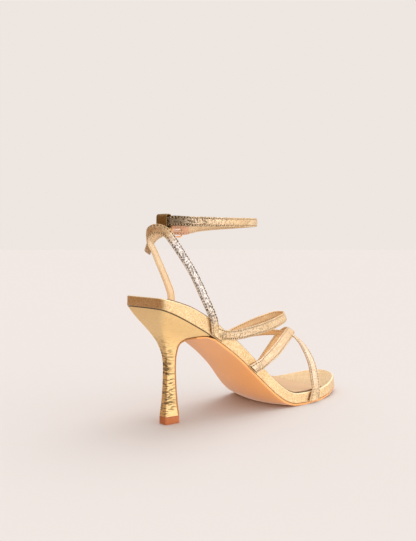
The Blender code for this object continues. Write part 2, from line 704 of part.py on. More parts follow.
def bent_wire(name, points, wire, closed, look, group):
    """Round wire through points, as a curve object with filled ends."""
    curve = bpy.data.curves.new(name, "CURVE")
    curve.dimensions = "3D"
    curve.bevel_depth = 0.5 * wire
    curve.bevel_resolution = 2
    curve.use_fill_caps = not closed
    spline = curve.splines.new("POLY")
    spline.points.add(len(points) - 1)
    for point, place in zip(spline.points, points):
        point.co = (*place, 1.0)
    spline.use_cyclic_u = closed
    made = bpy.data.objects.new(name, curve)
    made.data.materials.append(look)
    group.objects.link(made)
    return made


def make_buckle(look, group):
    """Buckle frame of bent wire, and its prong from the bar over the front bar."""
    half_x = 0.5 * BUCKLE_LENGTH
    half_z = 0.5 * (ANKLE_WIDTH + BUCKLE_WIRE) + BUCKLE_ROOM
    squareness = 0.42
    outline = []
    for angle in np.linspace(0.0, 2.0 * math.pi, 28, endpoint=False):
        c, s = math.cos(angle), math.sin(angle)
        x = half_x * math.copysign(abs(c) ** squareness, c)
        outline.append((x, 0.0, half_z * math.copysign(abs(s) ** squareness, s)))
    frame = bent_wire("buckle_frame", outline, BUCKLE_WIRE, True, look, group)
    frame.location = ankle_place(*BUCKLE)
    rest = 0.5 * (BUCKLE_WIRE + PRONG_WIRE) + SEAM
    start = -half_x + 0.5 * BUCKLE_WIRE + SEAM
    route = [(start, 0.0, 0.0), (0.0, 0.5 * rest, 0.0), (half_x, rest, 0.0)]
    route.append((half_x + BUCKLE_WIRE, rest, 0.0))
    prong = bent_wire("buckle_prong", route, PRONG_WIRE, False, look, group)
    prong.location = ankle_place(*BUCKLE)
    return frame, prong


def clear_scene():
    """Remove every object, then the collections that this script makes."""
    for old in list(bpy.data.objects):
        bpy.data.objects.remove(old, do_unlink=True)
    for old in list(bpy.data.collections):
        bpy.data.collections.remove(old)


def new_collection(name):
    """Collection linked to the scene."""
    made = bpy.data.collections.new(name)
    bpy.context.scene.collection.children.link(made)
    return made


def main():
    clear_scene()
    group = new_collection(COLLECTION)
    guides = new_collection("guides")
    gold = material("gold_leather", (0.86, 0.62, 0.30), 0.38, 0.75)
    lining = material("pale_lining", (0.90, 0.72, 0.48), 0.50, 0.10)
    tan = material("tan_outsole", (0.72, 0.38, 0.18), 0.50, 0.00)
    terracotta = material("terracotta", (0.52, 0.18, 0.09), 0.45, 0.00)
    rose = material("rose_metal", (0.80, 0.48, 0.34), 0.25, 1.00)
    make_platform(gold, group)
    make_sock(lining, group)
    make_outsole(tan, group)
    make_heel(gold, group)
    make_top_piece(terracotta, group)
    make_upper(gold, group, guides)
    make_rear_loop(gold, group)
    make_ankle_strap(gold, group, guides)
    make_buckle(rose, group)


main()
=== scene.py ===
"""Looks of the strappy heeled sandal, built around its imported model.

Metres, in the frame of the CAD part: +X to the toe, +Y to the outer side, +Z up, the
origin under the heel's top piece. Shapes are worked out with numpy from the same named
sizes and tables as the part.
"""
import json
import math

import bmesh
import bpy
import numpy as np
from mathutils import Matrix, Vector

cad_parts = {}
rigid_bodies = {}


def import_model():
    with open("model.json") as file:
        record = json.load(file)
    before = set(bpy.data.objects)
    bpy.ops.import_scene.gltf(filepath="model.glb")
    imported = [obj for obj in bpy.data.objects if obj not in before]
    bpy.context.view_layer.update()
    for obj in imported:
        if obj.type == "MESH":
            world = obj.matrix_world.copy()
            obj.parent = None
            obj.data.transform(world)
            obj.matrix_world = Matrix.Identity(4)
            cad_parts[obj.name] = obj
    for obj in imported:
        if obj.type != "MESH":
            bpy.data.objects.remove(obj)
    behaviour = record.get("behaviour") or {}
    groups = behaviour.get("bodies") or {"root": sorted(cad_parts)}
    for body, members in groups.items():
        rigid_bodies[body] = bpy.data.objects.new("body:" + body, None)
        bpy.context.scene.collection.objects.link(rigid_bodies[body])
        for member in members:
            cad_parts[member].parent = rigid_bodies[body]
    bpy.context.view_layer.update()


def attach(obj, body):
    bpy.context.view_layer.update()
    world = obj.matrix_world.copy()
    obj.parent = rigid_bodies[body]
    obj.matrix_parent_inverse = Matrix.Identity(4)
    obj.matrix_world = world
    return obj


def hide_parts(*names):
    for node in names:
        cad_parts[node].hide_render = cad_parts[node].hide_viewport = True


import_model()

# Last and heel
SOLE_LENGTH = 0.222
BALL_WIDTH = 0.077
HEEL_HEIGHT = 0.0937
TOE_SPRING = 0.0066
SOLE_CROWN = 0.0046
HEEL_SETBACK = 0.0255

# Platform, sock and outsole
PLATFORM_T = 0.0088
EDGE_ROUND = 0.0012
LOW_ROUND = 0.0006
FOOTBED_DISH = 0.0012
SOCK_T = 0.0008
SOCK_MARGIN = 0.0022
SOCK_BACK = 0.0060
SOCK_FRONT = 0.0440
SOCK_ROUND = 0.0005
SOCK_SPINE = (0.08, 0.72)
FOOTBED_SINK = 0.0001
OUTSOLE_T = 0.0016
OUTSOLE_INSET = 0.0003
COVER_T = 0.0010
COVER_SHARE = 0.94
BREAST_TURN = 0.016
EDGE_BULGE = 0.0002
DARK_COVER_ROWS = 66

# Heel and top piece
BREAST_REACH = 0.0500
TOP_PIECE_T = 0.0060
TIP_BACK_WIDTH = 0.0080
TIP_FRONT_WIDTH = 0.0123
SHAFT_BACK_WIDTH = 0.0056
SHAFT_FRONT_WIDTH = 0.0094
HEEL_INSET = 0.0006

# Straps, loop and buckle
STRAP_WIDTH = 0.0078
STRAP_T = 0.0018
LAP = 0.0002
ANKLE_WIDTH = 0.0078
ANKLE_T = 0.0018
ANKLE_RISE = 0.0575
INSTEP_RISE = 0.0620
LOOP_WIDTH = 0.0100
LOOP_WALL = 0.0010
LOOP_ROOM = 0.0016
LOOP_HEADROOM = 0.0009
LOOP_TURN = math.radians(14.0)
BUCKLE_WIRE = 0.0015
BUCKLE_LENGTH = 0.0110
BUCKLE_ROOM = 0.0009
PRONG_WIRE = 0.0011
SLOT_LENGTH = 0.0068
SLOT_WIDTH = 0.0019
SEAM = 0.0003
FOOT_GAP = 0.0005
BAR_CLEAR = 0.0011

# Stitches
STITCH_PITCH = 0.0023
STITCH_LENGTH = 0.0013
STITCH_R = 0.00025
STITCH_ROW = 0.70
PATH_STEP = 0.0012
TRIM_REACH = 0.0084

SEAT_X = -HEEL_SETBACK
BASE_Z = OUTSOLE_T + SEAM
SEAT_TOP = HEEL_HEIGHT + PLATFORM_T
FOOT_Z = TOP_PIECE_T + SEAM
PLUMB_BACK = 0.10
FOOT_SPAN = 0.018
TOE_CLOSE = 0.993

# Sole outline: station, inner, outer
OUTLINE = (
    (0.0, 0.27, 0.24), (0.004, 0.3, 0.27), (0.012, 0.318, 0.296),
    (0.03, 0.328, 0.314), (0.06, 0.333, 0.326), (0.112, 0.334, 0.332), (0.274, 0.326, 0.316),
    (0.411, 0.345, 0.342), (0.528, 0.428, 0.415), (0.63, 0.494, 0.468),
    (0.704, 0.51, 0.44), (0.773, 0.506, 0.36), (0.843, 0.476, 0.268),
    (0.9, 0.418, 0.192), (0.946, 0.352, 0.122), (0.977, 0.272, 0.056),
    (0.993, 0.195, -0.01), (1.0, 0.135, -0.05),
)
# Platform: station, rise, spring, thickness, crown
PROFILE = (
    (0.0, 1.0, 0.0, 1.0, 0.0), (0.068, 0.93, 0.0, 1.17, 0.0),
    (0.135, 0.849, 0.0, 1.28, 0.0), (0.202, 0.763, 0.0, 1.27, 0.0),
    (0.27, 0.66, 0.0, 1.2, 0.15), (0.338, 0.548, 0.0, 1.12, 0.4),
    (0.406, 0.415, 0.0, 1.06, 0.7), (0.45, 0.315, 0.0, 1.04, 0.9),
    (0.495, 0.207, 0.0, 1.03, 1.0), (0.54, 0.11, 0.0, 1.02, 1.08),
    (0.586, 0.036, 0.0, 1.0, 0.86), (0.63, 0.006, 0.0, 1.0, 0.4),
    (0.7, 0.0, 0.0, 1.0, 0.1), (0.76, 0.0, 0.0, 1.0, 0.1),
    (0.83, 0.0, 0.17, 1.0, 0.1), (0.91, 0.0, 0.5, 1.0, 0.1),
    (1.0, 0.0, 1.0, 0.95, 0.1),
)
# Heel: height, back, front, flare, foot
HEEL = (
    (0.0, 0.749, 0.612, 0.0, 1.0), (0.06, 0.772, 0.602, 0.0, 0.72),
    (0.15, 0.808, 0.59, 0.0, 0.38), (0.36, 0.849, 0.572, 0.0, 0.04),
    (0.5, 0.859, 0.566, 0.0, 0.0), (0.6, 0.837, 0.566, 0.02, 0.0),
    (0.68, 0.762, 0.576, 0.06, 0.0), (0.74, 0.666, 0.588, 0.11, 0.0),
    (0.79, 0.55, 0.61, 0.2, 0.0), (0.85, 0.386, 0.675, 0.38, 0.0),
    (0.9, 0.241, 0.775, 0.58, 0.0), (0.95, 0.116, 0.885, 0.8, 0.0),
    (1.0, 0.0, 1.0, 1.0, 0.0),
)
# Ring of the heel: share along from the back, share across; the other half is its mirror
HALF_RING = ((0.0, -0.8), (0.02, -0.94), (0.08, -1.0), (0.3, -1.0), (0.55, -1.0), (0.8, -1.0),
             (0.96, -1.0), (1.0, -0.9), (1.0, -0.45))
HEEL_RING = ((0.0, 0.0), *HALF_RING, (1.0, 0.0),
             *((along, -across) for along, across in HALF_RING[::-1]))
# Strap feet: station, height up the platform's side, width
SLING_FOOT = ((0.24, 0.06, 1.1), (0.219, 0.5, 1.08), (0.198, 1.04, 1.02))
INSTEP_FOOT = ((0.23, 0.42, 1.0), (0.256, 0.58, 1.0), (0.281, 0.86, 1.0))
CROSS_FOOT = ((0.421, 0.06, 1.2), (0.428, 0.5, 1.18), (0.437, 1.04, 1.16))
CROSS_FAR_FOOT = ((0.69, 0.06, 1.1), (0.692, 0.5, 1.1), (0.695, 1.04, 1.05))
TOE_FOOT = ((0.724, 0.06, 1.9), (0.729, 0.5, 1.75), (0.735, 1.04, 1.46))
SHARED_FOOT = ((0.368, 0.06, 1.15), (0.379, 0.5, 1.1), (0.393, 1.04, 1.05))
# Free stretches: station, side, rise, face x, face y, face z, width
SLING = (
    (0.189, -0.296, 0.0, -0.1, -1.0, 0.1, 0.98), (0.16, -0.256, 0.26, -0.28, -0.94, 0.2, 0.9),
    (0.131, -0.21, 0.475, -0.32, -0.92, 0.2, 0.9), (0.103, -0.15, 0.685, -0.42, -0.88, 0.2, 0.92),
    (0.081, -0.104, 0.822, -0.64, -0.75, 0.06, 0.96), (0.065, -0.05, 0.872, -0.88, -0.46, 0.02, 1.0),
    (0.052, 0.015, 0.872, -1.0, -0.1, 0.0, 1.0), (0.049, 0.088, 0.822, -0.95, 0.3, 0.0, 1.0),
    (0.062, 0.138, 0.725, -0.74, 0.67, 0.05, 0.96), (0.092, 0.162, 0.6, -0.5, 0.86, 0.15, 0.92),
    (0.122, 0.197, 0.45, -0.36, 0.92, 0.2, 0.9), (0.158, 0.24, 0.275, -0.28, 0.94, 0.2, 0.9),
    (0.193, 0.282, 0.09, -0.2, 0.97, 0.2, 0.94), (0.215, 0.31, -0.06, -0.05, 1.0, 0.1, 0.98),
)
INSTEP = (
    (0.342, -0.338, 1.092, 0.0, -0.99, 0.12, 1.04),
    (0.44, -0.294, 1.102, 0.0, -0.97, 0.16, 1.12),
    (0.557, -0.217, 1.122, 0.1, -0.96, 0.2, 1.16),
    (0.668, -0.122, 1.156, 0.25, -0.92, 0.24, 1.15),
    (0.732, -0.056, 1.19, 0.6, -0.7, 0.32, 1.1),
    (0.755, 0.012, 1.212, 0.88, 0.0, 0.42, 1.04),
    (0.732, 0.085, 1.212, 0.58, 0.75, 0.28, 1.02),
    (0.655, 0.16, 1.148, 0.25, 0.94, 0.22, 1.02),
    (0.562, 0.24, 1.036, 0.05, 0.98, 0.2, 1.0),
    (0.468, 0.31, 0.905, 0.0, 1.0, 0.2, 1.0),
)
CROSS = (
    (0.498, -0.38, 0.716, 0.0, -0.95, 0.22, 1.2),
    (0.56, -0.345, 0.796, 0.05, -0.92, 0.38, 1.3),
    (0.638, -0.268, 0.896, 0.15, -0.84, 0.52, 1.3),
    (0.713, -0.165, 0.96, 0.3, -0.66, 0.68, 1.22),
    (0.768, -0.07, 0.99, 0.5, -0.3, 0.8, 1.1),
    (0.781, 0.02, 0.98, 0.6, 0.25, 0.75, 1.05),
    (0.77, 0.12, 0.885, 0.45, 0.75, 0.5, 1.05),
    (0.745, 0.235, 0.648, 0.25, 0.93, 0.3, 1.06),
    (0.716, 0.34, 0.4, 0.1, 0.98, 0.2, 1.06),
)
TOE = (
    (0.742, -0.494, 0.33, -0.1, -0.98, 0.18, 1.34),
    (0.744, -0.444, 0.545, -0.14, -0.95, 0.26, 1.12),
    (0.74, -0.354, 0.748, 0.0, -0.9, 0.42, 1.0),
    (0.742, -0.232, 0.882, 0.26, -0.72, 0.62, 0.98),
    (0.742, -0.095, 0.94, 0.6, -0.2, 0.8, 1.0),
    (0.718, 0.03, 0.955, 0.55, 0.45, 0.75, 1.0),
    (0.665, 0.135, 0.965, 0.3, 0.85, 0.5, 1.0),
    (0.577, 0.225, 0.945, 0.1, 0.96, 0.3, 1.0),
    (0.478, 0.305, 0.88, 0.0, 1.0, 0.2, 1.0),
)
# Ankle strap: station, side, rise
ANKLE_BACK = ((0.182, 0.226, 0.9), (0.135, 0.16, 0.94), (0.0985, 0.09, 0.974))
ANKLE_FRONT = (
    (0.11, -0.106, 0.99), (0.15, -0.168, 0.985), (0.222, -0.206, 0.985), (0.315, -0.218, 0.988),
    (0.42, -0.19, 0.998), (0.51, -0.118, 1.01), (0.556, -0.05, 1.018), (0.567, 0.01, 1.02),
    (0.55, 0.075, 1.012), (0.49, 0.15, 0.992), (0.4, 0.205, 0.965), (0.32, 0.228, 0.93),
)
ANKLE_TAIL = ((0.16, 0.288, 0.84), (0.122, 0.258, 0.775), (0.094, 0.228, 0.675),
              (0.078, 0.214, 0.56))
BUCKLE = (0.232, 0.262, 0.885)
REAR_LOOP = (0.0918, -0.016, 0.981)

# Painted light along each strap, at shares of its length: how much glare is painted on the foil, and
# how strong its specks and painted shade are
STRAP_GLARE_AND_SHADE = {
    "sling_strap": ((0.0, 0.0, 0.45), (0.045, 0.0, 0.45), (0.075, 0.45, 1.2), (0.15, 0.95, 1.0),
                    (0.39, 1.0, 0.85), (0.44, 0.0, 0.45), (0.56, 0.0, 0.4), (1.0, 0.0, 0.3)),
    "instep_strap": ((0.0, 0.0, 0.8), (0.15, 0.15, 0.75), (0.28, 0.05, 0.6), (0.45, 0.0, 0.4),
                     (1.0, 0.0, 0.3)),
    "cross_strap": ((0.0, 0.2, 0.7), (0.1, 0.15, 0.2), (0.6, 0.0, 0.1), (1.0, 0.0, 0.3)),
    "toe_strap": ((0.0, 0.0, 0.45), (0.12, 0.25, 0.35), (0.27, 0.4, 0.1), (0.42, 0.1, 0.45),
                  (1.0, 0.0, 0.3)),
    "ankle_strap": ((0.0, 0.0, 0.3), (0.13, 0.2, 1.8), (0.18, 0.25, 1.7), (0.22, 0.22, 1.2),
                    (0.3, 0.12, 0.9), (0.38, 0.0, 0.55), (1.0, 0.0, 0.25)),
}

# Camera
CAMERA_PLACE = (-0.2968, -0.3641, 0.1372)
CAMERA_LOOK = (0.6820, 0.7314)
CAMERA_PITCH = 2.02
CAMERA_LENS = 39.79
SENSOR_HEIGHT = 36.0

# Light
BACKDROP = (0.855, 0.791, 0.753)
# World lobes: direction, tone, where its step starts and ends, height where it fades
WORLD_LOBES = (
    ((-0.94, 0.34, 0.0), (0.38, 0.18, 0.05), 0.30, 0.72, 0.28),
    ((0.25, -0.66, -0.70), (1.22, 1.08, 0.92), 0.45, 0.95, 1.0),
    ((0.70, -0.71, 0.10), (1.40, 1.32, 1.23), 0.35, 0.95, 0.55),
)
FADE_SPAN = 0.3
FLOOR_TONE = (0.762, 0.747, 0.749)
FLOOR_SPAN = 0.004
SUN_WAY = (-0.50, -0.12, -1.0)
# Boxes: place, aim, size, power, colour, whether polished faces show it
FRONT_BOX = ((0.50, -0.80, 0.40), (0.08, 0.0, 0.06), (0.6, 0.6), 1.0, (1.0, 0.98, 0.96), True)
SIDE_FILL = ((0.05, -0.80, 0.05), (0.05, 0.0, 0.05), (0.5, 0.3), 1.3, (1.0, 0.97, 0.94), False)
SOLE_FILL = ((-0.45, -0.35, 0.02), (0.09, 0.0, 0.03), (0.5, 0.1), 3.6, (1.0, 0.95, 0.90), False)


def cubic(x, knots, values, slopes):
    """Cubic pieces through values at knots, with a slope at each, read at x."""
    i = np.clip(np.searchsorted(knots, x, side="right") - 1, 0, len(knots) - 2)
    step = np.diff(knots)[i]
    u = (x - knots[i]) / step
    if values.ndim > 1:
        step, u = step[:, None], u[:, None]
    value = values[i] * (1.0 + 2.0 * u) * (1.0 - u) ** 2 + values[i + 1] * u * u * (3.0 - 2.0 * u)
    return value + step * u * (1.0 - u) * (slopes[i] * (1.0 - u) - slopes[i + 1] * u)


def column(table, index):
    """One column of a table as an array."""
    return np.array([row[index] for row in table], float)


def read(table, at, index):
    """A table's column at places in its first: cubic pieces, whose slopes are the harmonic
    means of the rates beside them, and level at a turn."""
    xs, ys = column(table, 0), column(table, index)
    rate = np.diff(ys) / np.diff(xs)
    slope = np.zeros_like(ys)
    same = rate[:-1] * rate[1:] > 0.0
    harmonic = 2.0 * rate[:-1] * rate[1:] / np.where(same, rate[:-1] + rate[1:], 1.0)
    slope[1:-1] = np.where(same, harmonic, 0.0)
    slope[0], slope[-1] = rate[0], rate[-1]
    return cubic(np.asarray(at, float), xs, ys, slope)


def table_edge(station, side):
    """Y of the sole's edge by the outline table; side is -1 inner and +1 outer."""
    return side * BALL_WIDTH * read(OUTLINE, station, 1 if side < 0 else 2)


def middle_half(station):
    """Middle and half width of the sole. Past TOE_CLOSE the half width falls with the
    square root of what is left, which rounds the tip."""
    station = np.asarray(station, float)
    inner, outer = table_edge(station, -1), table_edge(station, 1)
    end = 0.5 * (table_edge(TOE_CLOSE, 1) - table_edge(TOE_CLOSE, -1))
    close = np.sqrt(np.clip((1.0 - station) / (1.0 - TOE_CLOSE), 0.0, 1.0))
    half = np.where(station > TOE_CLOSE, end * close, 0.5 * (outer - inner))
    return 0.5 * (inner + outer), half


def underside(station):
    """Height of the platform's underside over the floor."""
    rise, spring = read(PROFILE, station, 1), read(PROFILE, station, 2)
    return BASE_Z + rise * (HEEL_HEIGHT - BASE_Z) + spring * TOE_SPRING


def belly(station, y):
    """Drop of the underside below its edge line: a parabola across the sole."""
    inner, outer = table_edge(station, -1), table_edge(station, 1)
    across = np.clip((2.0 * y - inner - outer) / (outer - inner), -1.0, 1.0)
    return SOLE_CROWN * read(PROFILE, station, 4) * (1.0 - across * across)


def thickness(station):
    """Thickness of the platform, square to its underside."""
    return PLATFORM_T * read(PROFILE, station, 3)


def upward(station):
    """Unit normal of the underside in the XZ plane. The back is plumb."""
    small, station = 0.002, np.asarray(station, float)
    low, high = np.clip(station - small, 0.0, 1.0), np.clip(station + small, 0.0, 1.0)
    slope = (underside(high) - underside(low)) / ((high - low) * SOLE_LENGTH)
    size = np.sqrt(1.0 + slope * slope)
    lean = np.clip(station / PLUMB_BACK, 0.0, 1.0)
    return -slope / size * lean, 1.0 / size


def over_sole(station, y, lift):
    """Points lifted square off the underside; all three may be arrays."""
    nx, nz = upward(station)
    x = SEAT_X + np.asarray(station, float) * SOLE_LENGTH + lift * nx
    z = underside(station) + lift * nz
    return np.stack(np.broadcast_arrays(x, y, z), axis=-1)


def sole_skin(station, y, lift):
    """Points parallel to the crowned underside, never below the resting plane."""
    points = over_sole(station, y, lift)
    points[..., 2] = np.maximum(points[..., 2] - belly(station, y), BASE_Z + lift)
    return points


def unit(vectors):
    """Rows scaled to length one."""
    return vectors / np.maximum(np.linalg.norm(vectors, axis=-1, keepdims=True), 1e-12)


def turns(count):
    """Even angles of one turn."""
    return np.linspace(0.0, 2.0 * math.pi, count, endpoint=False)


def squared(values, power):
    """Cosines or sines drawn out by a power, signs kept, for a squared oval."""
    return np.sign(values) * np.abs(values) ** power


def run_length(points):
    """Length along points, from the first to each."""
    steps = np.linalg.norm(np.diff(points[:, :3], axis=0), axis=1)
    return np.concatenate([[0.0], np.cumsum(steps)])


# Shader maths


class Value:
    """A socket. Operators on it add Math nodes, reflected forms too."""

    def __init__(self, look, socket):
        self.look, self.socket = look, socket

    def maths(self, operation, *values):
        """One operation of the Math node on values."""
        return self.look.node("Math", values, operation=operation).out()

    def __add__(self, other):
        return self.maths("ADD", self, other)

    def __sub__(self, other):
        return self.maths("SUBTRACT", self, other)

    def __rsub__(self, other):
        return self.maths("SUBTRACT", other, self)

    def __mul__(self, other):
        return self.maths("MULTIPLY", self, other)

    def __abs__(self):
        return self.maths("ABSOLUTE", self)

    __radd__, __rmul__ = __add__, __mul__

    def above(self, level):
        """1 over the level and 0 under it."""
        return self.maths("GREATER_THAN", self, level)

    def clamp(self):
        """Held between 0 and 1."""
        return self.look.node("Clamp", {"Value": self}).out()

    def smooth(self, low, high):
        """0 at low, 1 at high and a soft step between."""
        ends = {"Value": self, "From Min": low, "From Max": high}
        return self.look.node("MapRange", ends, interpolation_type="SMOOTHSTEP").out()


class Made:
    """A node, whose outputs are read by name."""

    def __init__(self, look, node):
        self.look, self.node = look, node

    def out(self, name=None):
        """Output by name, or the first one in use."""
        if name is None:
            return Value(self.look, next(s for s in self.node.outputs if s.enabled))
        return Value(self.look, self.node.outputs[name])


class Nodes:
    """A node tree, and the one method that adds nodes to it."""

    def __init__(self, tree):
        self.tree = tree

    def node(self, kind, inputs=(), **settings):
        """Inputs are values or links, by socket name or in order."""
        made = self.tree.nodes.new("ShaderNode" + kind)
        for name, setting in settings.items():
            setattr(made, name, setting)
        sockets = list(made.inputs)
        if isinstance(inputs, dict):
            open_sockets = {}
            for socket in made.inputs:
                if socket.enabled:
                    open_sockets.setdefault(socket.name, socket)
            sockets, inputs = [open_sockets[name] for name in inputs], inputs.values()
        for socket, value in zip(sockets, inputs):
            self.feed(socket, value)
        return Made(self, made)

    def feed(self, socket, value):
        """Link a value to a socket, or set the socket to it."""
        if isinstance(value, Value):
            self.tree.links.new(value.socket, socket)
        elif socket.type == "RGBA":
            socket.default_value = (*value, 1.0)
        else:
            socket.default_value = value

    def mix(self, share, first, second):
        """First colour at share 0, second at 1, straight between."""
        return self.node("Mix", {"Factor": share, "A": first, "B": second}, data_type="RGBA").out()

    def scaled(self, where, scale):
        """Place times a scale on each axis."""
        return self.node("Mapping", {"Vector": where, "Scale": scale}).out()

    def attribute(self, name, part="Fac"):
        """A mark of the mesh, by its name."""
        return self.node("Attribute", attribute_name=name).out(part)

    def noise(self, where, scale, detail=2.0, roughness=0.5):
        """Soft noise round 0.5, with finer noise added to it."""
        ends = {"Vector": where, "Scale": scale, "Detail": detail, "Roughness": roughness}
        return self.node("TexNoise", ends).out("Fac")

    def cracks(self, where, scale):
        """Distance to the nearest border between cells."""
        ends = {"Vector": where, "Scale": scale}
        return self.node("TexVoronoi", ends, feature="DISTANCE_TO_EDGE").out("Distance")

    def warped(self, where, scale, amount):
        """Place plus a soft noise times an amount."""
        soft = self.node("TexNoise", {"Vector": where, "Scale": scale, "Detail": 1.0})
        ends = {"Vector": soft.out("Color"), "Scale": amount}
        shift = self.node("VectorMath", ends, operation="SCALE").out()
        return self.node("VectorMath", [where, shift], operation="ADD").out()


class Look(Nodes):
    """A material with a Principled shader."""

    def __init__(self, name):
        self.material = bpy.data.materials.new(name)
        self.material.use_nodes = True
        super().__init__(self.material.node_tree)
        self.shader = self.tree.nodes["Principled BSDF"]
        self.place = self.node("TexCoord").out("Object")

    def set(self, **values):
        """Feed the shader's inputs by name."""
        for name, value in values.items():
            self.feed(self.shader.inputs[name.replace("_", " ")], value)

    def bump(self, height, distance):
        """Tilt the shader's normal by a height times a distance."""
        self.set(Normal=self.node("Bump", {"Height": height, "Distance": distance}).out("Normal"))


def foil_leather(name, tones, contrast, relief, offset=0.06, rough=0.34, lines=0.0):
    """Leather under crinkled metal foil: a fine dark speckle, painted glints as pale dots, thin
    creases and soft tone patches. Above zero, the shade attribute paints shade into joins
    and grooves; below zero it paints a highlight on the rims. The ridge attribute brings on
    level creases."""
    look = Look(name)
    lit, deep, glint_tone, crevice_shade = tones
    where = look.warped(look.place, 240.0, 0.0016)
    speck = look.noise(where, 800.0, 4.0, 0.72)
    crease = look.cracks(where, 640.0).smooth(0.0, 0.10)
    tone = look.noise(look.place, 70.0, 2.0)
    # The shade mark: above zero, painted shade in joins and grooves; below zero, a painted highlight.
    black = shade = look.attribute("shade")
    dark = (speck.smooth(0.56, 0.40) * 0.42 + (1.0 - crease) * 0.30) * contrast
    dark = dark + (0.5 - tone) * 0.45 + offset
    height = speck * 0.9 + crease * 0.35
    if lines > 0.0:
        level = look.noise(look.scaled(look.place, (0.20, 0.20, 1.0)), 900.0, 3.0, 0.6)
        coarse = look.noise(look.scaled(look.place, (0.5, 0.5, 1.0)), 150.0, 1.0)
        ridge = look.attribute("ridge")
        band = level.smooth(0.47, 0.58) * (ridge * coarse.smooth(0.25, 0.50) * 1.5).clamp()
        black = black + band * lines * 0.8
        dark = dark + (level - 0.5) * (0.5 + ridge * 1.4) * lines
        height = height - band * 1.6 - level * 0.5
    base = look.mix(dark.clamp(), lit, deep)
    # Painted glints on the speckle, and the painted highlight on the rims.
    bright = speck.smooth(0.57, 0.70) * 0.55 * contrast + shade.smooth(0.0, -1.2) * 0.8
    base = look.mix(bright.clamp(), base, glint_tone)
    look.set(Base_Color=look.mix(black.clamp(), base, crevice_shade))
    look.set(Roughness=(rough + dark * 0.16 + (tone - 0.5) * 0.10).clamp())
    look.set(Metallic=0.92)
    look.bump(height, relief)
    return look.material


def strap_marks(look, low, high):
    """Marks that follow a strap: its run, its flat plan and its groove, and the stitch holes,
    a step between low and high twice in each stitch."""
    run = look.attribute("strap", "Vector")
    parts = look.node("SeparateXYZ", {"Vector": run})
    steps = parts.out("X") * (1.0 / STITCH_PITCH)
    hole = abs(steps.maths("FRACT", steps) - 0.5).smooth(low, high)
    return parts, look.scaled(run, (1.0, 1.0, 0.0)), look.attribute("groove"), hole


def strap_foil(name, tones, glare_and_speck_tones, rough=0.36):
    """Foil leather of a strap. Its crinkles follow the strap by its own attribute: the run
    along it, the place across it, and how much painted glare turns the gold pale. A second
    mark is how dark its specks, cracks and stitch holes are, and at its high end it paints
    shade as a dark brown. The groove has painted shade, deeper at a hole between each stitch
    and the next."""
    look = Look(name)
    lit, deep, glint_tone, crevice_shade = tones
    parts, flat, groove, hole = strap_marks(look, 0.20, 0.36)
    # How much glare is painted, and how strong the specks and painted shade are, along the strap.
    painted_glare, specks_and_shade = parts.out("Z"), look.attribute("specks_and_shade")
    where = look.warped(flat, 300.0, 0.0012)
    speck = look.noise(where, 720.0, 3.0, 0.70)
    crease = look.cracks(where, 640.0).smooth(0.0, 0.13)
    streak = look.noise(look.scaled(flat, (1.6, 0.35, 0.0)), 640.0, 3.0, 0.6)
    tone = look.noise(flat, 90.0, 2.0)
    # Lengthwise bands of painted highlight and painted shade, standing for light on the padded ridges.
    band = look.noise(look.scaled(flat, (0.10, 1.6, 0.0)), 640.0, 2.0)
    black = speck.smooth(0.52, 0.40) * 0.75 + (1.0 - crease) * 0.25
    dark = (0.5 - tone) * 0.35 + (0.5 - streak) * 0.7 + (0.5 - band) * 0.9
    dark = dark + (1.0 - crease) * 0.18 + 0.14
    gold = look.mix(dark.clamp(), lit, deep)
    # Painted glints on the crinkle streaks, and painted highlight on the bands.
    bright = streak.smooth(0.54, 0.68) * 0.5 + band.smooth(0.54, 0.68) * 0.4
    gold = look.mix(bright.clamp(), gold, glint_tone)
    # Painted glare: a pale, near-white speckled tone where the gold catches bright light.
    pale = look.mix(speck.smooth(0.46, 0.62), glare_and_speck_tones[1], glare_and_speck_tones[0])
    base = look.mix(painted_glare.clamp(), gold, pale)
    # Specks darken with the second mark; past 0.85 it paints shade as a dark brown.
    base = look.mix((black * specks_and_shade).clamp(), base, glare_and_speck_tones[2])
    base = look.mix(specks_and_shade.smooth(0.85, 2.0) * 0.85, base, (0.10, 0.065, 0.035))
    # Painted shade in the stitch groove, deepest at the holes.
    stitched = groove * (hole * 0.80 + 0.14 + painted_glare * 0.40) * (specks_and_shade * 0.65 + 0.42)
    look.set(Base_Color=look.mix(stitched.clamp(), base, crevice_shade))
    look.set(Roughness=(rough + dark * 0.14 + specks_and_shade * 0.05 - painted_glare * 0.04).clamp())
    look.set(Metallic=(0.80 - painted_glare * 0.35).clamp())
    look.bump(speck * 0.7 + crease * 0.4 + streak * 0.3 - groove * hole * 0.8, 0.00020)
    return look.material


def strap_lining(name, tones, metallic=0.15, rough=0.48, blush=None):
    """Lining of a strap: a soft even leather with fine cross creases and painted shade in its stitch
    groove.
    Blush is a stretch of its run, in metres, where the lining is rosy."""
    look = Look(name)
    lit, deep, crevice_shade = tones
    parts, flat, groove, hole = strap_marks(look, 0.26, 0.42)
    fine = look.noise(look.scaled(flat, (1.0, 0.4, 0.0)), 900.0, 3.0, 0.65)
    tone = look.noise(flat, 80.0, 2.0)
    dark = (0.5 - tone) * 0.7 + fine.smooth(0.58, 0.42) * 0.35 + 0.1
    base = look.mix(dark.clamp(), lit, deep)
    if blush:
        along = parts.out("X")
        rosy = along.above(blush[0]) * (1.0 - along.above(blush[1]))
        base = look.mix(rosy, base, (0.68, 0.37, 0.235))
    # Painted shade in the stitch groove, deeper at the holes.
    look.set(Base_Color=look.mix((groove * (hole * 0.5 + 0.15)).clamp(), base, crevice_shade))
    look.set(Roughness=(rough + (fine - 0.5) * 0.12).clamp())
    look.set(Metallic=metallic)
    look.bump(fine - groove * hole * 0.5, 0.00010)
    return look.material


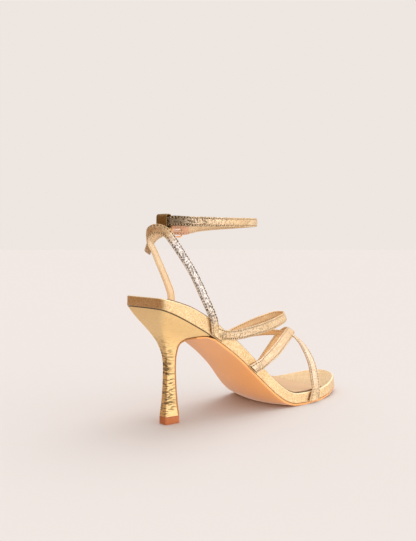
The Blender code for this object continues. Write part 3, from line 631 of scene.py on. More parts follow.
def smooth_leather(name, lit, deep, rough, metallic):
    """Smooth leather: pores of a fine noise, soft tone patches and a dark brown where its edge mark is
    set.
    """
    look = Look(name)
    pores = look.noise(look.place, 1500.0, 3.0, 0.6)
    tone = look.noise(look.place, 45.0, 3.0)
    dark = (0.5 - tone) * 0.9 + (pores - 0.5) * 0.35 + 0.35
    base = look.mix(dark.clamp(), lit, deep)
    look.set(Base_Color=look.mix(look.attribute("edge").clamp(), base, (0.26, 0.13, 0.05)))
    look.set(Roughness=(rough + (pores - 0.5) * 0.14).clamp())
    look.set(Metallic=metallic)
    look.bump(pores, 0.00002)
    return look.material


def outsole_resin(name):
    """Tan resin outsole: streaks that run with the sole, and a paler edge line."""
    look = Look(name)
    streak = look.noise(look.scaled(look.place, (0.25, 1.0, 1.0)), 420.0, 3.0)
    tone = look.noise(look.place, 24.0, 2.0)
    scuff = look.noise(look.place, 900.0, 2.0)
    rim = look.attribute("rim")
    dark = (0.5 - tone) * 0.5 + (streak - 0.5) * 0.16 + 0.32
    body = look.mix(dark.clamp(), (0.79, 0.345, 0.090), (0.60, 0.225, 0.044))
    edge = look.mix(rim.clamp(), body, (0.80, 0.375, 0.125))
    look.set(Base_Color=look.mix((0.0 - rim).clamp(), edge, (0.36, 0.15, 0.045)))
    look.set(Roughness=(0.40 + (scuff - 0.5) * 0.16).clamp())
    look.set(Coat_Weight=0.12)
    look.bump(streak * 0.5 + scuff * 0.5, 0.00003)
    return look.material


def terracotta_rubber(name):
    """Terracotta top piece: fine mould grain and darker scuffs."""
    look = Look(name)
    grain = look.noise(look.place, 1800.0, 3.0)
    tone = look.noise(look.place, 160.0, 3.0)
    dark = (0.5 - tone) * 0.9 + 0.3
    look.set(Base_Color=look.mix(dark.clamp(), (0.66, 0.225, 0.085), (0.38, 0.10, 0.034)))
    look.set(Roughness=(0.46 + (grain - 0.5) * 0.2).clamp())
    look.set(Specular_IOR_Level=0.25)
    look.bump(grain, 0.00003)
    return look.material


def plated_metal(name, lit, deep):
    """Plated buckle metal: polished, with faint brush lines and dulled hollows."""
    look = Look(name)
    brush = look.noise(look.scaled(look.place, (0.2, 1.0, 2.0)), 2600.0, 2.0)
    tone = look.noise(look.place, 260.0, 2.0)
    look.set(Base_Color=look.mix(((0.5 - tone) * 0.8 + 0.25).clamp(), lit, deep))
    look.set(Roughness=(0.17 + (brush - 0.5) * 0.12).clamp())
    look.set(Metallic=1.0)
    look.bump(brush, 0.000006)
    return look.material


def thread(name, lit, deep):
    """Waxed thread: fine twist across each stitch."""
    look = Look(name)
    twist = look.noise(look.place, 3200.0, 1.0)
    look.set(Base_Color=look.mix(twist, lit, deep))
    look.set(Roughness=(0.5 + (twist - 0.5) * 0.2).clamp())
    look.bump(twist, 0.00003)
    return look.material


# Meshes


def linked(name, data):
    """Object of some data, put in the scene."""
    made = bpy.data.objects.new(name, data)
    bpy.context.scene.collection.objects.link(made)
    return made


def mesh_of(name, vertices, faces, materials, indices=None, attributes=None, sharp=None):
    """Object with its mesh, material slots, face slots and point attributes."""
    mesh = bpy.data.meshes.new(name)
    mesh.from_pydata(vertices.reshape(-1, 3).tolist(), [], faces)
    for made in materials:
        mesh.materials.append(made)
    if indices is not None:
        mesh.polygons.foreach_set("material_index", np.asarray(indices, np.int32))
    for key, values in (attributes or {}).items():
        values = np.asarray(values, np.float32)
        kind, part = ("FLOAT_VECTOR", "vector") if values.ndim == 2 else ("FLOAT", "value")
        mesh.attributes.new(key, kind, "POINT").data.foreach_set(part, values.ravel())
    work = bmesh.new()
    work.from_mesh(mesh)
    bmesh.ops.remove_doubles(work, verts=work.verts, dist=0.000002)
    bmesh.ops.recalc_face_normals(work, faces=work.faces)
    work.to_mesh(mesh)
    work.free()
    mesh.shade_smooth()
    if sharp is not None:
        mesh.set_sharp_from_angle(angle=math.radians(sharp))
    return linked(name, mesh)


def grid_faces(rows, around, closed=True, joined=False):
    """Quads of a grid of rows by points around, closed across and, if joined, end to end."""
    index = np.arange(rows * around).reshape(rows, around)
    ahead = np.roll(index, -1, axis=1)
    after = np.roll(index, -1, axis=0)
    last_row = rows if joined else rows - 1
    last = around if closed else around - 1
    after_ahead = np.roll(ahead, -1, axis=0)
    quads = np.stack([index, ahead, after_ahead, after], axis=-1)[:last_row, :last].reshape(-1, 4)
    return [tuple(q) for q in quads.tolist()]


def capped_faces(rows, around):
    """Quads of a closed grid, with a polygon over each end."""
    ends = [tuple(range(around))[::-1], tuple(range((rows - 1) * around, rows * around))]
    return grid_faces(rows, around) + ends


def carried(piece, slot_name, *nodes):
    """Ride the shoe's one body and stand for CAD nodes; the finish's slot name is not used."""
    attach(piece, "root")
    if nodes:
        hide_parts(*nodes)
    return piece


def toe_stations(first, count=150, tip=9):
    """Even stations from first, then ones that crowd into the tip with its square root."""
    body = np.linspace(first, TOE_CLOSE, count, endpoint=False)
    left = np.linspace(1.0, 0.0, tip) ** 2
    return np.concatenate([body, 1.0 - (1.0 - TOE_CLOSE) * left])


def sole_outline(back=13):
    """Closed outline of the sole as station and Y: up the inner edge to the toe, down the
    outer edge, and along the straight back."""
    stations = toe_stations(0.0)
    middle, half = middle_half(stations)
    inner = np.stack([stations, middle - half], axis=1)
    outer = np.stack([stations, middle + half], axis=1)[::-1][1:]
    turn = np.linspace(outer[-1, 1], inner[0, 1], back)[1:-1]
    return np.concatenate([inner, outer, np.stack([np.zeros(back - 2), turn], axis=1)])


def inset(outline, distance):
    """Outline moved inwards along its own normals, in metres."""
    places = outline * (SOLE_LENGTH, 1.0)
    run = unit(np.roll(places, -1, axis=0) - np.roll(places, 1, axis=0))
    inward = np.stack([-run[:, 1], run[:, 0]], axis=1)
    return (places + inward * distance) / (SOLE_LENGTH, 1.0)


def towards_spine(outline, share, first=0.08, last=0.90):
    """Outline drawn in towards the sole's middle line: 1 is the edge and 0 the line."""
    spine = np.clip(outline[:, 0], first, last)
    middle, _ = middle_half(spine)
    station = spine + share * (outline[:, 0] - spine)
    return station, middle + share * (outline[:, 1] - middle)


def platform_piece(foil):
    """Wrapped platform. Each row is the closed outline: the underside spreads from the
    middle line, turns a small radius, climbs the side, turns the rim's quarter circle and
    goes back over the dished footbed to the middle line."""
    edge_line = sole_outline()
    rows, shade = [], []

    def ring(distance, share, lift, dark):
        """Outline set in by a distance, at a share of the thickness plus a lift."""
        drawn = inset(edge_line, distance)
        rows.append(over_sole(drawn[:, 0], drawn[:, 1], share * thickness(drawn[:, 0]) + lift))
        shade.append(dark)

    # The shade mark paints shade under the platform and round its low edge, by the outsole.
    for share in (0.0, 0.3, 0.6, 0.85, 1.0):
        station, y = towards_spine(inset(edge_line, LOW_ROUND), share)
        rows.append(sole_skin(station, y, 0.0))
        shade.append(0.6)
    for angle in np.radians((30.0, 60.0, 90.0)):
        sine = math.sin(angle)
        lift = LOW_ROUND * (1.0 - math.cos(angle))
        ring(LOW_ROUND * (1.0 - sine), 0.0, lift, 0.45 - 0.45 * sine ** 2)
    low_rows = len(rows)
    for share in (0.12, 0.3, 0.5, 0.75):
        ring(0.0, share, 0.0, 0.0)
    # Round the rim the shade mark goes below zero: a painted highlight.
    for angle in np.radians((0.0, 18.0, 36.0, 54.0, 72.0, 90.0)):
        sine = math.sin(angle)
        ring(EDGE_ROUND * (1.0 - math.cos(angle)), 1.0, -EDGE_ROUND * (1.0 - sine), -1.2 * sine)
    rim_row = len(rows)
    ring(SOCK_MARGIN - 0.0007, 1.0, -FOOTBED_SINK, 0.0)
    # This row paints shade in a thin groove beside the sock.
    ring(SOCK_MARGIN - 0.0003, 1.0, -FOOTBED_SINK, 0.8)
    for share in (0.97, 0.9, 0.75, 0.5, 0.25, 0.0):
        station, y = towards_spine(inset(edge_line, SOCK_MARGIN), share)
        lift = thickness(station) - FOOTBED_DISH * (1.0 - share ** 2) - FOOTBED_SINK
        rows.append(over_sole(station, y, lift))
        shade.append(0.0)
    rows = np.array(rows)
    count, around = rows.shape[:2]
    shade = np.repeat(np.array(shade)[:, None], around, axis=1)
    # The groove's painted shade runs only beside the sock; the painted shade at the low edge is full at
    # the back and faint further forward.
    beside = np.clip((1.0 - SOCK_FRONT / SOLE_LENGTH - edge_line[:, 0]) / 0.02, 0.0, 1.0)
    shade[rim_row:rim_row + 2] *= beside
    back = np.clip((0.26 - edge_line[:, 0]) / 0.04, 0.0, 1.0)
    shade[:low_rows] *= 0.10 + 0.90 * back
    marks = {"shade": shade.ravel()}
    piece = mesh_of("wrapped_platform", rows, grid_faces(count, around), [foil],
                    attributes=marks, sharp=50.0)
    return carried(piece, "gold_leather", "platform")


def dish_depth(station, y):
    """Depth of the footbed's dish: a parabola across, nothing at the rim."""
    middle, half = middle_half(station)
    across = np.clip((y - middle) / np.maximum(half - EDGE_ROUND, 0.001), -1.0, 1.0)
    return FOOTBED_DISH * (1.0 - across ** 2)


def cut_across(outline, first, last):
    """Outline cut square at two stations, its cut ends drawn as straight lines."""
    kept = (outline[:, 0] > first) & (outline[:, 0] < last)
    half = len(outline) // 2
    inner = outline[:half][kept[:half]]
    outer = outline[half:][kept[half:]]
    outer = outer[np.argsort(-outer[:, 0])]
    front = np.stack([np.full(11, last), np.linspace(inner[-1, 1], outer[0, 1], 11)], axis=1)
    back = np.stack([np.full(11, first), np.linspace(outer[-1, 1], inner[0, 1], 11)], axis=1)
    return np.concatenate([inner, front, outer, back])


def sock_piece(lining):
    """Insole sock: the outline set in by its margin, a rounded edge and the dish."""
    ends = (SOCK_BACK / SOLE_LENGTH, 1.0 - SOCK_FRONT / SOLE_LENGTH)
    drawn = cut_across(inset(sole_outline(), SOCK_MARGIN), *ends)
    rows = []

    def add(station, y, lift):
        """Row at the thickness plus a lift, less the dish."""
        rows.append(over_sole(station, y, thickness(station) + lift - dish_depth(station, y)))

    for share in (0.0, 0.35, 0.7, 1.0):
        add(*towards_spine(drawn, share, *SOCK_SPINE), SEAM)
    for angle in np.radians((0.0, 30.0, 60.0, 90.0)):
        turned = inset(drawn, SOCK_ROUND * (1.0 - math.cos(angle)))
        add(turned[:, 0], turned[:, 1], SEAM + SOCK_T - SOCK_ROUND * (1.0 - math.sin(angle)))
    for share in (0.97, 0.93, 0.85, 0.7, 0.5, 0.25, 0.0):
        add(*towards_spine(inset(drawn, SOCK_ROUND), share, *SOCK_SPINE), SEAM + SOCK_T)
    rows = np.array(rows)
    # The edge mark turns the rounded edge dark brown.
    edge = np.zeros(rows.shape[:2])
    edge[3:7] = 0.9
    edge[7] = 0.45
    piece = mesh_of("insole_sock_lining", rows, grid_faces(*rows.shape[:2]), [lining],
                    attributes={"edge": edge.ravel()}, sharp=60.0)
    return carried(piece, "insole_lining", "insole_sock")


def heel_half_width(height, along, station):
    """Half widths of the heel: the shaft's taper, blended by flare to the seat's edge."""
    flare, foot = read(HEEL, height, 3), read(HEEL, height, 4)
    back = 0.5 * (SHAFT_BACK_WIDTH + foot * (TIP_BACK_WIDTH - SHAFT_BACK_WIDTH))
    front = 0.5 * (SHAFT_FRONT_WIDTH + foot * (TIP_FRONT_WIDTH - SHAFT_FRONT_WIDTH))
    shaft = back + (front - back) * along
    seat_inner = -table_edge(station, -1) - HEEL_INSET
    seat_outer = table_edge(station, 1) - HEEL_INSET
    return shaft + flare * (seat_inner - shaft), shaft + flare * (seat_outer - shaft)


def rounded_ring(ring, times):
    """Closed polygon with its corners cut again and again, a quarter from each end."""
    for _ in range(times):
        after = np.roll(ring, -1, axis=0)
        pair = [0.75 * ring + 0.25 * after, 0.25 * ring + 0.75 * after]
        ring = np.stack(pair, axis=1).reshape(-1, 2)
    return ring


def heel_rings(heights, ring):
    """Sections of the heel at shares of its height, as rows by points around."""
    along, across = ring[:, 0][None], ring[:, 1][None]
    h = heights[:, None]
    back, front = HEEL_SETBACK * read(HEEL, h, 1), BREAST_REACH * read(HEEL, h, 2)
    x = back + (front - back) * along
    station = np.maximum(x, 0.0) / SOLE_LENGTH
    inner, outer = heel_half_width(h, along, station)
    y = across * np.where(across < 0, inner, outer)
    top = underside(station) - belly(station, y) - SEAM
    return np.stack([SEAT_X + x, y, FOOT_Z + (top - FOOT_Z) * h], axis=-1)


def heel_piece(foil):
    """Covered heel: sections carried up from the top piece to the seat, with the back
    corners marked as ridges for the foil's creases."""
    ring = rounded_ring(np.array(HEEL_RING), 2)
    heights = np.concatenate([np.linspace(0.0, 0.6, 40, endpoint=False), np.linspace(0.6, 0.984, 56),
                              [0.990, 0.994, 0.997, 1.0]])
    rows = heel_rings(heights, ring)
    from_corner = np.hypot(ring[:, 0], (np.abs(ring[:, 1]) - 0.97) * 0.8)
    near = np.exp(-(from_corner / 0.78) ** 2)
    band = np.clip(heights / 0.05, 0.0, 1.0) * np.clip((0.82 - heights) / 0.3, 0.0, 1.0)
    ridge = (band[:, None] * near[None]).ravel()
    # Painted shade: the top rows darken towards the gap under the platform.
    shade = np.repeat(np.clip((heights - 0.994) / 0.004, 0.0, 0.85), len(ring))
    piece = mesh_of("covered_heel", rows, capped_faces(*rows.shape[:2]), [foil],
                    attributes={"ridge": ridge, "shade": shade}, sharp=55.0)
    return carried(piece, "gold_leather", "heel")


def top_piece_piece(rubber):
    """Top piece: the heel's lowest section, bevelled at the floor and at the heel."""
    ring = heel_rings(np.array([0.0]), rounded_ring(np.array(HEEL_RING), 1))[0]
    ring[:, 0] += np.where(ring[:, 0] > 0.0, COVER_T + SEAM, 0.0)
    middle = ring[:, :2].mean(axis=0)
    reach = ring[:, :2] - middle
    size = np.linalg.norm(reach, axis=1, keepdims=True)
    rows = []
    bevel = ((0.0, 0.0006), (0.0002, 0.0002), (0.0006, 0.0), (TOP_PIECE_T * 0.5, 0.0),
             (TOP_PIECE_T - 0.0004, 0.0), (TOP_PIECE_T, 0.0003))
    for z, shrink in bevel:
        level = ring.copy()
        level[:, :2] = middle + reach * (1.0 - shrink / size)
        level[:, 2] = z
        rows.append(level)
    rows = np.array(rows)
    piece = mesh_of("rubber_top_piece", rows, capped_faces(*rows.shape[:2]), [rubber], sharp=40.0)
    return carried(piece, "top_piece", "top_piece")


def skin_rows(near, far, bulge):
    """Rows round a skin: across one face, over a rounded edge, back across the other face
    and over the other edge."""
    edge = 0.5 * (near[:, [0, -1]] + far[:, [0, -1]])
    edge[:, :, 1] += bulge * np.array([-1.0, 1.0])
    return np.concatenate([near, edge[:, 1:], far[:, ::-1], edge[:, :1]], axis=1)


def outsole_piece(resin):
    """Outsole: a skin under the platform from the toe to the breast, then down the heel's
    breast. Across it runs a flat skin with rounded edges."""
    stations = toe_stations(BREAST_REACH / SOLE_LENGTH + BREAST_TURN)[::-1]
    flat = np.linspace(-1.0, 1.0, 21)
    middle, half = middle_half(stations)
    half = np.maximum(half - OUTSOLE_INSET, 0.00002)
    y = middle[:, None] + half[:, None] * flat
    sole = skin_rows(sole_skin(stations[:, None], y, -SEAM), sole_skin(stations[:, None], y, -BASE_Z),
                     np.minimum(EDGE_BULGE, 0.5 * half)[:, None])
    heights = np.concatenate([np.linspace(0.98, 0.65, 40), np.linspace(0.64, 0.0, 34)])
    front = BREAST_REACH * read(HEEL, heights, 2)
    station = front / SOLE_LENGTH
    z = FOOT_Z + (underside(station) - SEAM - FOOT_Z) * heights
    inner, outer = heel_half_width(heights, 1.0, station)
    line = np.stack([SEAT_X + front, z], axis=1)
    run = unit(np.gradient(line, axis=0))
    outward = np.stack([-run[:, 1], run[:, 0]], axis=1)
    y = 0.5 * COVER_SHARE * ((outer - inner)[:, None] + (outer + inner)[:, None] * flat)
    faces = []
    for lift in (SEAM, SEAM + COVER_T):
        x, z = (line + outward * lift).T[..., None]
        faces.append(np.stack(np.broadcast_arrays(x, y, z), axis=-1))
    rows = np.concatenate([sole, skin_rows(*faces, EDGE_BULGE)])
    rim = np.zeros(rows.shape[:2])
    edges = [20, 21, 22, -1, -2, 0]
    rim[:, edges] = 0.85
    rim[-DARK_COVER_ROWS:] = -0.55
    rim[-DARK_COVER_ROWS:, edges] = -0.9
    piece = mesh_of("tan_outsole", rows, capped_faces(*rows.shape[:2]), [resin],
                    attributes={"rim": rim.ravel()}, sharp=60.0)
    return carried(piece, "outsole_tan", "outsole")


# Straps


def smooth_path(points):
    """Even points on a smooth curve through the rows: cubic pieces on square-root chords."""
    points = np.asarray(points, float)
    chord = np.sqrt(np.linalg.norm(np.diff(points[:, :3], axis=0), axis=1))
    knots = np.concatenate([[0.0], np.cumsum(chord)])
    gap = np.diff(knots)
    rate = np.diff(points, axis=0) / gap[:, None]
    slope = np.empty_like(points)
    weight = (gap[1:] / (gap[1:] + gap[:-1]))[:, None]
    slope[1:-1] = rate[:-1] * weight + rate[1:] * (1.0 - weight)
    slope[0], slope[-1] = rate[0], rate[-1]
    curve = cubic(np.linspace(0.0, knots[-1], 90 * len(points)), knots, points, slope)
    length = run_length(curve)
    even = np.linspace(0.0, length[-1], max(6, int(round(length[-1] / PATH_STEP)) + 1))
    return np.stack([np.interp(even, length, part) for part in curve.T], axis=1)


def foot_rows(foot, side, strap_t):
    """Strap centre on the platform's side, turned with the sole's edge."""
    rows = []
    for station, up, width in foot:
        y = table_edge(station, side) + side * (FOOT_GAP + 0.5 * strap_t)
        point = over_sole(station, y, up * thickness(station))
        ends = table_edge(np.array([station - FOOT_SPAN, station + FOOT_SPAN]), side)
        turn = (ends[1] - ends[0]) / (2.0 * FOOT_SPAN * SOLE_LENGTH)
        rows.append((*point, -side * turn, float(side), 0.0, width))
    return rows


def sole_run(foot, side):
    """Direction of the sole's edge where a strap's foot starts."""
    station, half_step = foot[0][0], 0.01
    back, front = (over_sole(s, table_edge(s, side), 0.0)
                   for s in (station - half_step, station + half_step))
    return unit(front - back)


def free_rows(table, low, rise):
    """Rows of a strap table as places and facings in the model's frame."""
    table = np.array(table)
    places = np.stack([SEAT_X + table[:, 0] * SOLE_LENGTH, table[:, 1] * BALL_WIDTH,
                       low + table[:, 2] * rise], axis=1)
    return np.concatenate([places, table[:, 3:]], axis=1).tolist()


def strap_section():
    """Half a turn over the strap and back under it: place across from -1 to 1, lift from 0
    to 1, and how deep in the stitch groove. A padded middle, a groove and a rolled edge."""
    over = np.array([
        (0.0, 1.0, 0.0), (0.16, 0.995, 0.0), (0.32, 0.98, 0.0), (0.46, 0.94, 0.0), (0.55, 0.88, 0.0),
        (0.61, 0.79, 0.5), (0.66, 0.72, 1.0), (0.70, 0.70, 1.0), (0.74, 0.73, 1.0), (0.79, 0.78, 0.4),
        (0.88, 0.75, 0.0), (0.95, 0.62, 0.0), (1.0, 0.36, 0.2)])
    under = np.array([
        (0.97, 0.10, 0.4), (0.88, 0.0, 0.0), (0.79, 0.0, 0.3), (0.74, 0.03, 1.0), (0.66, 0.03, 1.0),
        (0.61, 0.0, 0.3), (0.3, 0.0, 0.0), (0.0, 0.0, 0.0)])
    mirror = (-1.0, 1.0, 1.0)
    top = np.concatenate([(over * mirror)[::-1], over[1:]])
    low = np.concatenate([under, (under * mirror)[::-1][1:]])
    return (*np.concatenate([top, low]).T, len(top))


def strap_frame(path, trims=(None, None)):
    """Run, across and face of a strap. Near a trimmed end, across leans into the line that
    the end is cut along."""
    centre, facing = path[:, :3], path[:, 3:6]
    run = unit(np.gradient(centre, axis=0))
    across = unit(np.cross(run, facing))
    face = np.cross(across, run)
    length = run_length(centre)
    for end, trim in zip((0, -1), trims):
        if trim is None:
            continue
        left = np.abs(length - length[end])
        share = np.clip(1.0 - left / TRIM_REACH, 0.0, 1.0)[:, None]
        along = np.array(trim) * math.copysign(1.0, float(np.dot(trim, across[end])))
        mixed = unit(along * share + across * (1.0 - share))
        size = np.linalg.norm(np.cross(mixed, run), axis=1, keepdims=True)
        across = np.where(share > 0.0, mixed / size, across)
    return centre, run, across, face, length


def strap_piece(name, path, width, strap_t, trims, looks, glare_and_shade):
    """Strap: the padded section carried along its path, foil outside and lining inside. Its
    last argument tells, at shares of its length, how much glare is painted on the foil and
    how strong its specks and painted shade are."""
    centre, _, across, face, length = strap_frame(path, trims)
    u, lift, groove, top_count = strap_section()
    half = 0.5 * width * path[:, 6]
    rows = centre[:, None] + across[:, None] * (u * half[:, None])[..., None]
    rows = rows + face[:, None] * ((lift - 0.5) * strap_t)[:, None]
    count, around = rows.shape[:2]
    slots = np.tile((np.arange(around) >= top_count - 1).astype(int), count - 1)
    # Painted glare, and painted shade with specks, read along the strap from its table.
    painted_glare, specks_and_shade = (np.interp(length / length[-1], column(glare_and_shade, 0), column(glare_and_shade, part))
                    for part in (1, 2))
    place = np.stack(np.broadcast_arrays(length[:, None], u * half[:, None], painted_glare[:, None]), axis=-1)
    marks = {"strap": place.reshape(-1, 3), "groove": np.tile(groove, count),
             "specks_and_shade": np.repeat(specks_and_shade, around)}
    return mesh_of(name, rows, capped_faces(count, around), looks,
                   indices=np.concatenate([slots, [0, 0]]), attributes=marks, sharp=70.0)


def stitches_piece(name, path, width, strap_t, look, ends=2, trims=(None, None)):
    """Rows of stitches on both faces: one small bead, copied at even steps along each
    groove. Ends is how many stitches each end goes without."""
    centre, run, across, face, length = strap_frame(path, trims)
    where = (np.arange(ends, int(length[-1] / STITCH_PITCH) - ends) + 0.5) * STITCH_PITCH

    def along(values):
        """Values of the path read at each stitch."""
        return np.stack([np.interp(where, length, part) for part in values.T], axis=1)

    spots, axes = along(centre), [unit(along(values)) for values in (run, across, face)]
    half = np.interp(where, length, 0.5 * width * path[:, 6])[:, None]
    steps = np.array([-1.0, -0.55, 0.0, 0.55, 1.0])[:, None]
    thick = np.sqrt(1.0 - 0.9 * steps ** 2) * STITCH_R
    bead = np.stack(np.broadcast_arrays(
        steps * 0.5 * STITCH_LENGTH, thick * np.cos(turns(6)), thick * np.sin(turns(6))), axis=-1)
    vertices, faces = [], []
    for side, level, out in ((-1, 0.70, 1), (1, 0.70, 1), (-1, 0.03, -1), (1, 0.03, -1)):
        base = spots + axes[1] * half * STITCH_ROW * side
        base = base + axes[2] * ((level - 0.5) * strap_t + 0.30 * STITCH_R * out)
        start = 30 * (len(vertices) * len(spots) + np.arange(len(spots)))
        for corners in capped_faces(5, 6):
            faces += (start[:, None] + corners).tolist()
        vertices.append(base[:, None] + bead.reshape(-1, 3) @ np.stack(axes, axis=1))
    return carried(mesh_of(name, np.concatenate(vertices), faces, [look]), "gold_leather")


def upper_paths():
    """Paths of the four straps of the upper, with how their ends are trimmed."""
    under_t = STRAP_T - LAP
    plan = (
        ("sling_strap", SLING_FOOT, SLING, SLING_FOOT, SEAT_TOP, ANKLE_RISE, STRAP_T),
        ("instep_strap", INSTEP_FOOT, INSTEP, SHARED_FOOT, 0.0, INSTEP_RISE, under_t),
        ("cross_strap", CROSS_FOOT, CROSS, CROSS_FAR_FOOT, 0.0, INSTEP_RISE, STRAP_T),
        ("toe_strap", TOE_FOOT, TOE, SHARED_FOOT, 0.0, INSTEP_RISE, STRAP_T),
    )
    made = {}
    for name, inner_foot, table, outer_foot, low, rise, strap_t in plan:
        rows = foot_rows(inner_foot, -1, strap_t) + free_rows(table, low, rise)
        rows += foot_rows(outer_foot, 1, strap_t)[::-1]
        inner_trim = None if name == "instep_strap" else sole_run(inner_foot, -1)
        made[name] = (smooth_path(rows), strap_t, (inner_trim, sole_run(outer_foot, 1)))
    return made


def ankle_place(station, side, rise):
    """Point at the height of the ankle, in the model's frame."""
    return np.array((SEAT_X + station * SOLE_LENGTH, side * BALL_WIDTH,
                     SEAT_TOP + rise * ANKLE_RISE))


def ankle_path():
    """Ankle strap from the buckle's bar back through the rear loop, round the front of the
    ankle and through the buckle to its free tail, facing out of the ring."""
    buckle, loop = ankle_place(*BUCKLE), ankle_place(*REAR_LOOP)
    half = 0.5 * BUCKLE_LENGTH
    pass_by = 0.5 * (BUCKLE_WIRE + ANKLE_T) + BAR_CLEAR
    rows = [buckle - (half + 0.5 * BUCKLE_WIRE + BAR_CLEAR, 0.0, 0.0)]
    rows += [ankle_place(*row) for row in ANKLE_BACK]
    reach = 0.5 * LOOP_WIDTH * np.array((-math.sin(LOOP_TURN), math.cos(LOOP_TURN), 0.0))
    rows += [loop + reach, loop - reach]
    rows += [ankle_place(*row) for row in ANKLE_FRONT]
    rows += [buckle + (half, -pass_by, 0.0), buckle + (-half, pass_by, 0.0)]
    rows += [ankle_place(*row) for row in ANKLE_TAIL]
    rows = np.array(rows)
    run = unit(np.gradient(rows, axis=0))
    facing = unit(np.cross(run, (0.0, 0.0, 1.0)))
    return smooth_path(np.concatenate([rows, facing, np.ones((len(rows), 1))], axis=1))


def ankle_piece(looks, glare_and_shade):
    """Ankle strap, with the slot that the prong comes through cut out of it."""
    piece = strap_piece("ankle_strap_band", ankle_path(), ANKLE_WIDTH, ANKLE_T, (None, None),
                        looks, glare_and_shade)
    c, s = np.cos(turns(24)), np.sin(turns(24))
    x = 0.5 * (SLOT_LENGTH - SLOT_WIDTH) * np.sign(c) + 0.5 * SLOT_WIDTH * c
    rows = np.array([np.stack([x, np.full(24, y), 0.5 * SLOT_WIDTH * s], axis=1)
                     for y in (-2.0 * ANKLE_T, 2.0 * ANKLE_T)])
    cutter = mesh_of("slot_cutter", rows + ankle_place(*BUCKLE), capped_faces(2, 24), [looks[0]])
    cut = piece.modifiers.new("slot", "BOOLEAN")
    cut.operation, cut.solver, cut.object = "DIFFERENCE", "EXACT", cutter
    bpy.context.view_layer.update()
    shaped = bpy.data.meshes.new_from_object(piece.evaluated_get(bpy.context.evaluated_depsgraph_get()))
    piece.modifiers.clear()
    piece.data = shaped
    bpy.data.objects.remove(cutter)
    return carried(piece, "gold_leather", "ankle_strap")


def rear_loop_piece(foil):
    """Leather loop: a rounded section carried round a squared oval."""
    half_x = 0.5 * ANKLE_T + LOOP_ROOM
    half_z = 0.5 * ANKLE_WIDTH + LOOP_HEADROOM
    c, s = np.cos(turns(72)), np.sin(turns(72))
    x, z = half_x * squared(c, 0.4), half_z * squared(s, 0.4)
    out = unit(np.stack([c / half_x, s / half_z], axis=1))
    width = 0.5 * LOOP_WIDTH * squared(np.cos(turns(28)), 0.3)
    lift = 0.5 * LOOP_WALL * (1.0 + squared(np.sin(turns(28)), 0.6))
    flat_x, flat_y = x[:, None] + out[:, :1] * lift, np.broadcast_to(width, (72, 28))
    rows = np.stack([
        flat_x * math.cos(LOOP_TURN) - flat_y * math.sin(LOOP_TURN),
        flat_x * math.sin(LOOP_TURN) + flat_y * math.cos(LOOP_TURN),
        z[:, None] + out[:, 1:] * lift,
    ], axis=-1) + ankle_place(*REAR_LOOP)
    piece = mesh_of("rear_loop_leather", rows, grid_faces(72, 28, joined=True), [foil],
                    attributes={"shade": np.zeros(72 * 28)}, sharp=70.0)
    return carried(piece, "gold_leather", "rear_loop")


def wire_rows(points, radius, closed):
    """Circle carried along points, on a frame that keeps Y as its reference."""
    points = np.asarray(points, float)
    if closed:
        run = unit(np.roll(points, -1, axis=0) - np.roll(points, 1, axis=0))
    else:
        run = unit(np.gradient(points, axis=0))
    side = unit(np.cross(run, (0.0, 1.0, 0.001)))
    lift = np.cross(side, run)
    c, s = np.cos(turns(14))[:, None], np.sin(turns(14))[:, None]
    radius = np.broadcast_to(radius, (len(points),))[:, None, None]
    return points[:, None] + radius * (side[:, None] * c + lift[:, None] * s)


def buckle_pieces(metal):
    """Buckle frame of bent wire on a squared oval, and the prong curled round its bar."""
    half_x = 0.5 * BUCKLE_LENGTH
    half_z = 0.5 * (ANKLE_WIDTH + BUCKLE_WIRE) + BUCKLE_ROOM
    x, z = half_x * squared(np.cos(turns(96)), 0.42), half_z * squared(np.sin(turns(96)), 0.42)
    line = np.stack([x, np.zeros(96), z], axis=1) + ankle_place(*BUCKLE)
    rows = wire_rows(line, 0.5 * BUCKLE_WIRE, True)
    frame_piece = mesh_of("buckle_wire", rows, grid_faces(96, 14, joined=True), [metal])
    carried(frame_piece, "buckle_metal", "buckle_frame")
    rest = 0.5 * (BUCKLE_WIRE + PRONG_WIRE) + 0.0001
    turn = np.radians(np.linspace(250.0, 80.0, 12))
    curl = np.stack([-half_x + rest * np.cos(turn), rest * np.sin(turn), np.zeros(12)], axis=1)
    arm_x = np.linspace(-half_x + 0.0012, half_x + BUCKLE_WIRE, 22)
    arm_y = rest + 0.00012 * np.sin(np.linspace(0.0, math.pi, 22))
    arm = np.stack([arm_x, arm_y, np.zeros(22)], axis=1)
    line = np.concatenate([curl, arm]) + ankle_place(*BUCKLE)
    radius = 0.5 * PRONG_WIRE * np.clip(np.linspace(5.2, 0.72, len(line)), 0.0, 1.0)
    rows = wire_rows(line, radius, False)
    prong_piece = mesh_of("buckle_prong_wire", rows, capped_faces(len(line), 14), [metal], sharp=60.0)
    carried(prong_piece, "buckle_metal", "buckle_prong")


# Stage


def aimed(way):
    """Turn that points an object's own -Z along a direction."""
    return Vector(way).to_track_quat("-Z", "Y").to_euler()


def set_camera():
    """Camera fitted to the photograph, level but for a small pitch down."""
    data = bpy.data.cameras.new("photo_view")
    data.sensor_fit = "VERTICAL"
    data.sensor_height = SENSOR_HEIGHT
    data.lens = CAMERA_LENS
    data.clip_start = 0.01
    camera = linked("photo_view", data)
    camera.location = CAMERA_PLACE
    pitch = math.radians(CAMERA_PITCH)
    level = [part * math.cos(pitch) for part in CAMERA_LOOK]
    camera.rotation_euler = aimed((*level, -math.sin(pitch)))
    bpy.context.scene.camera = camera


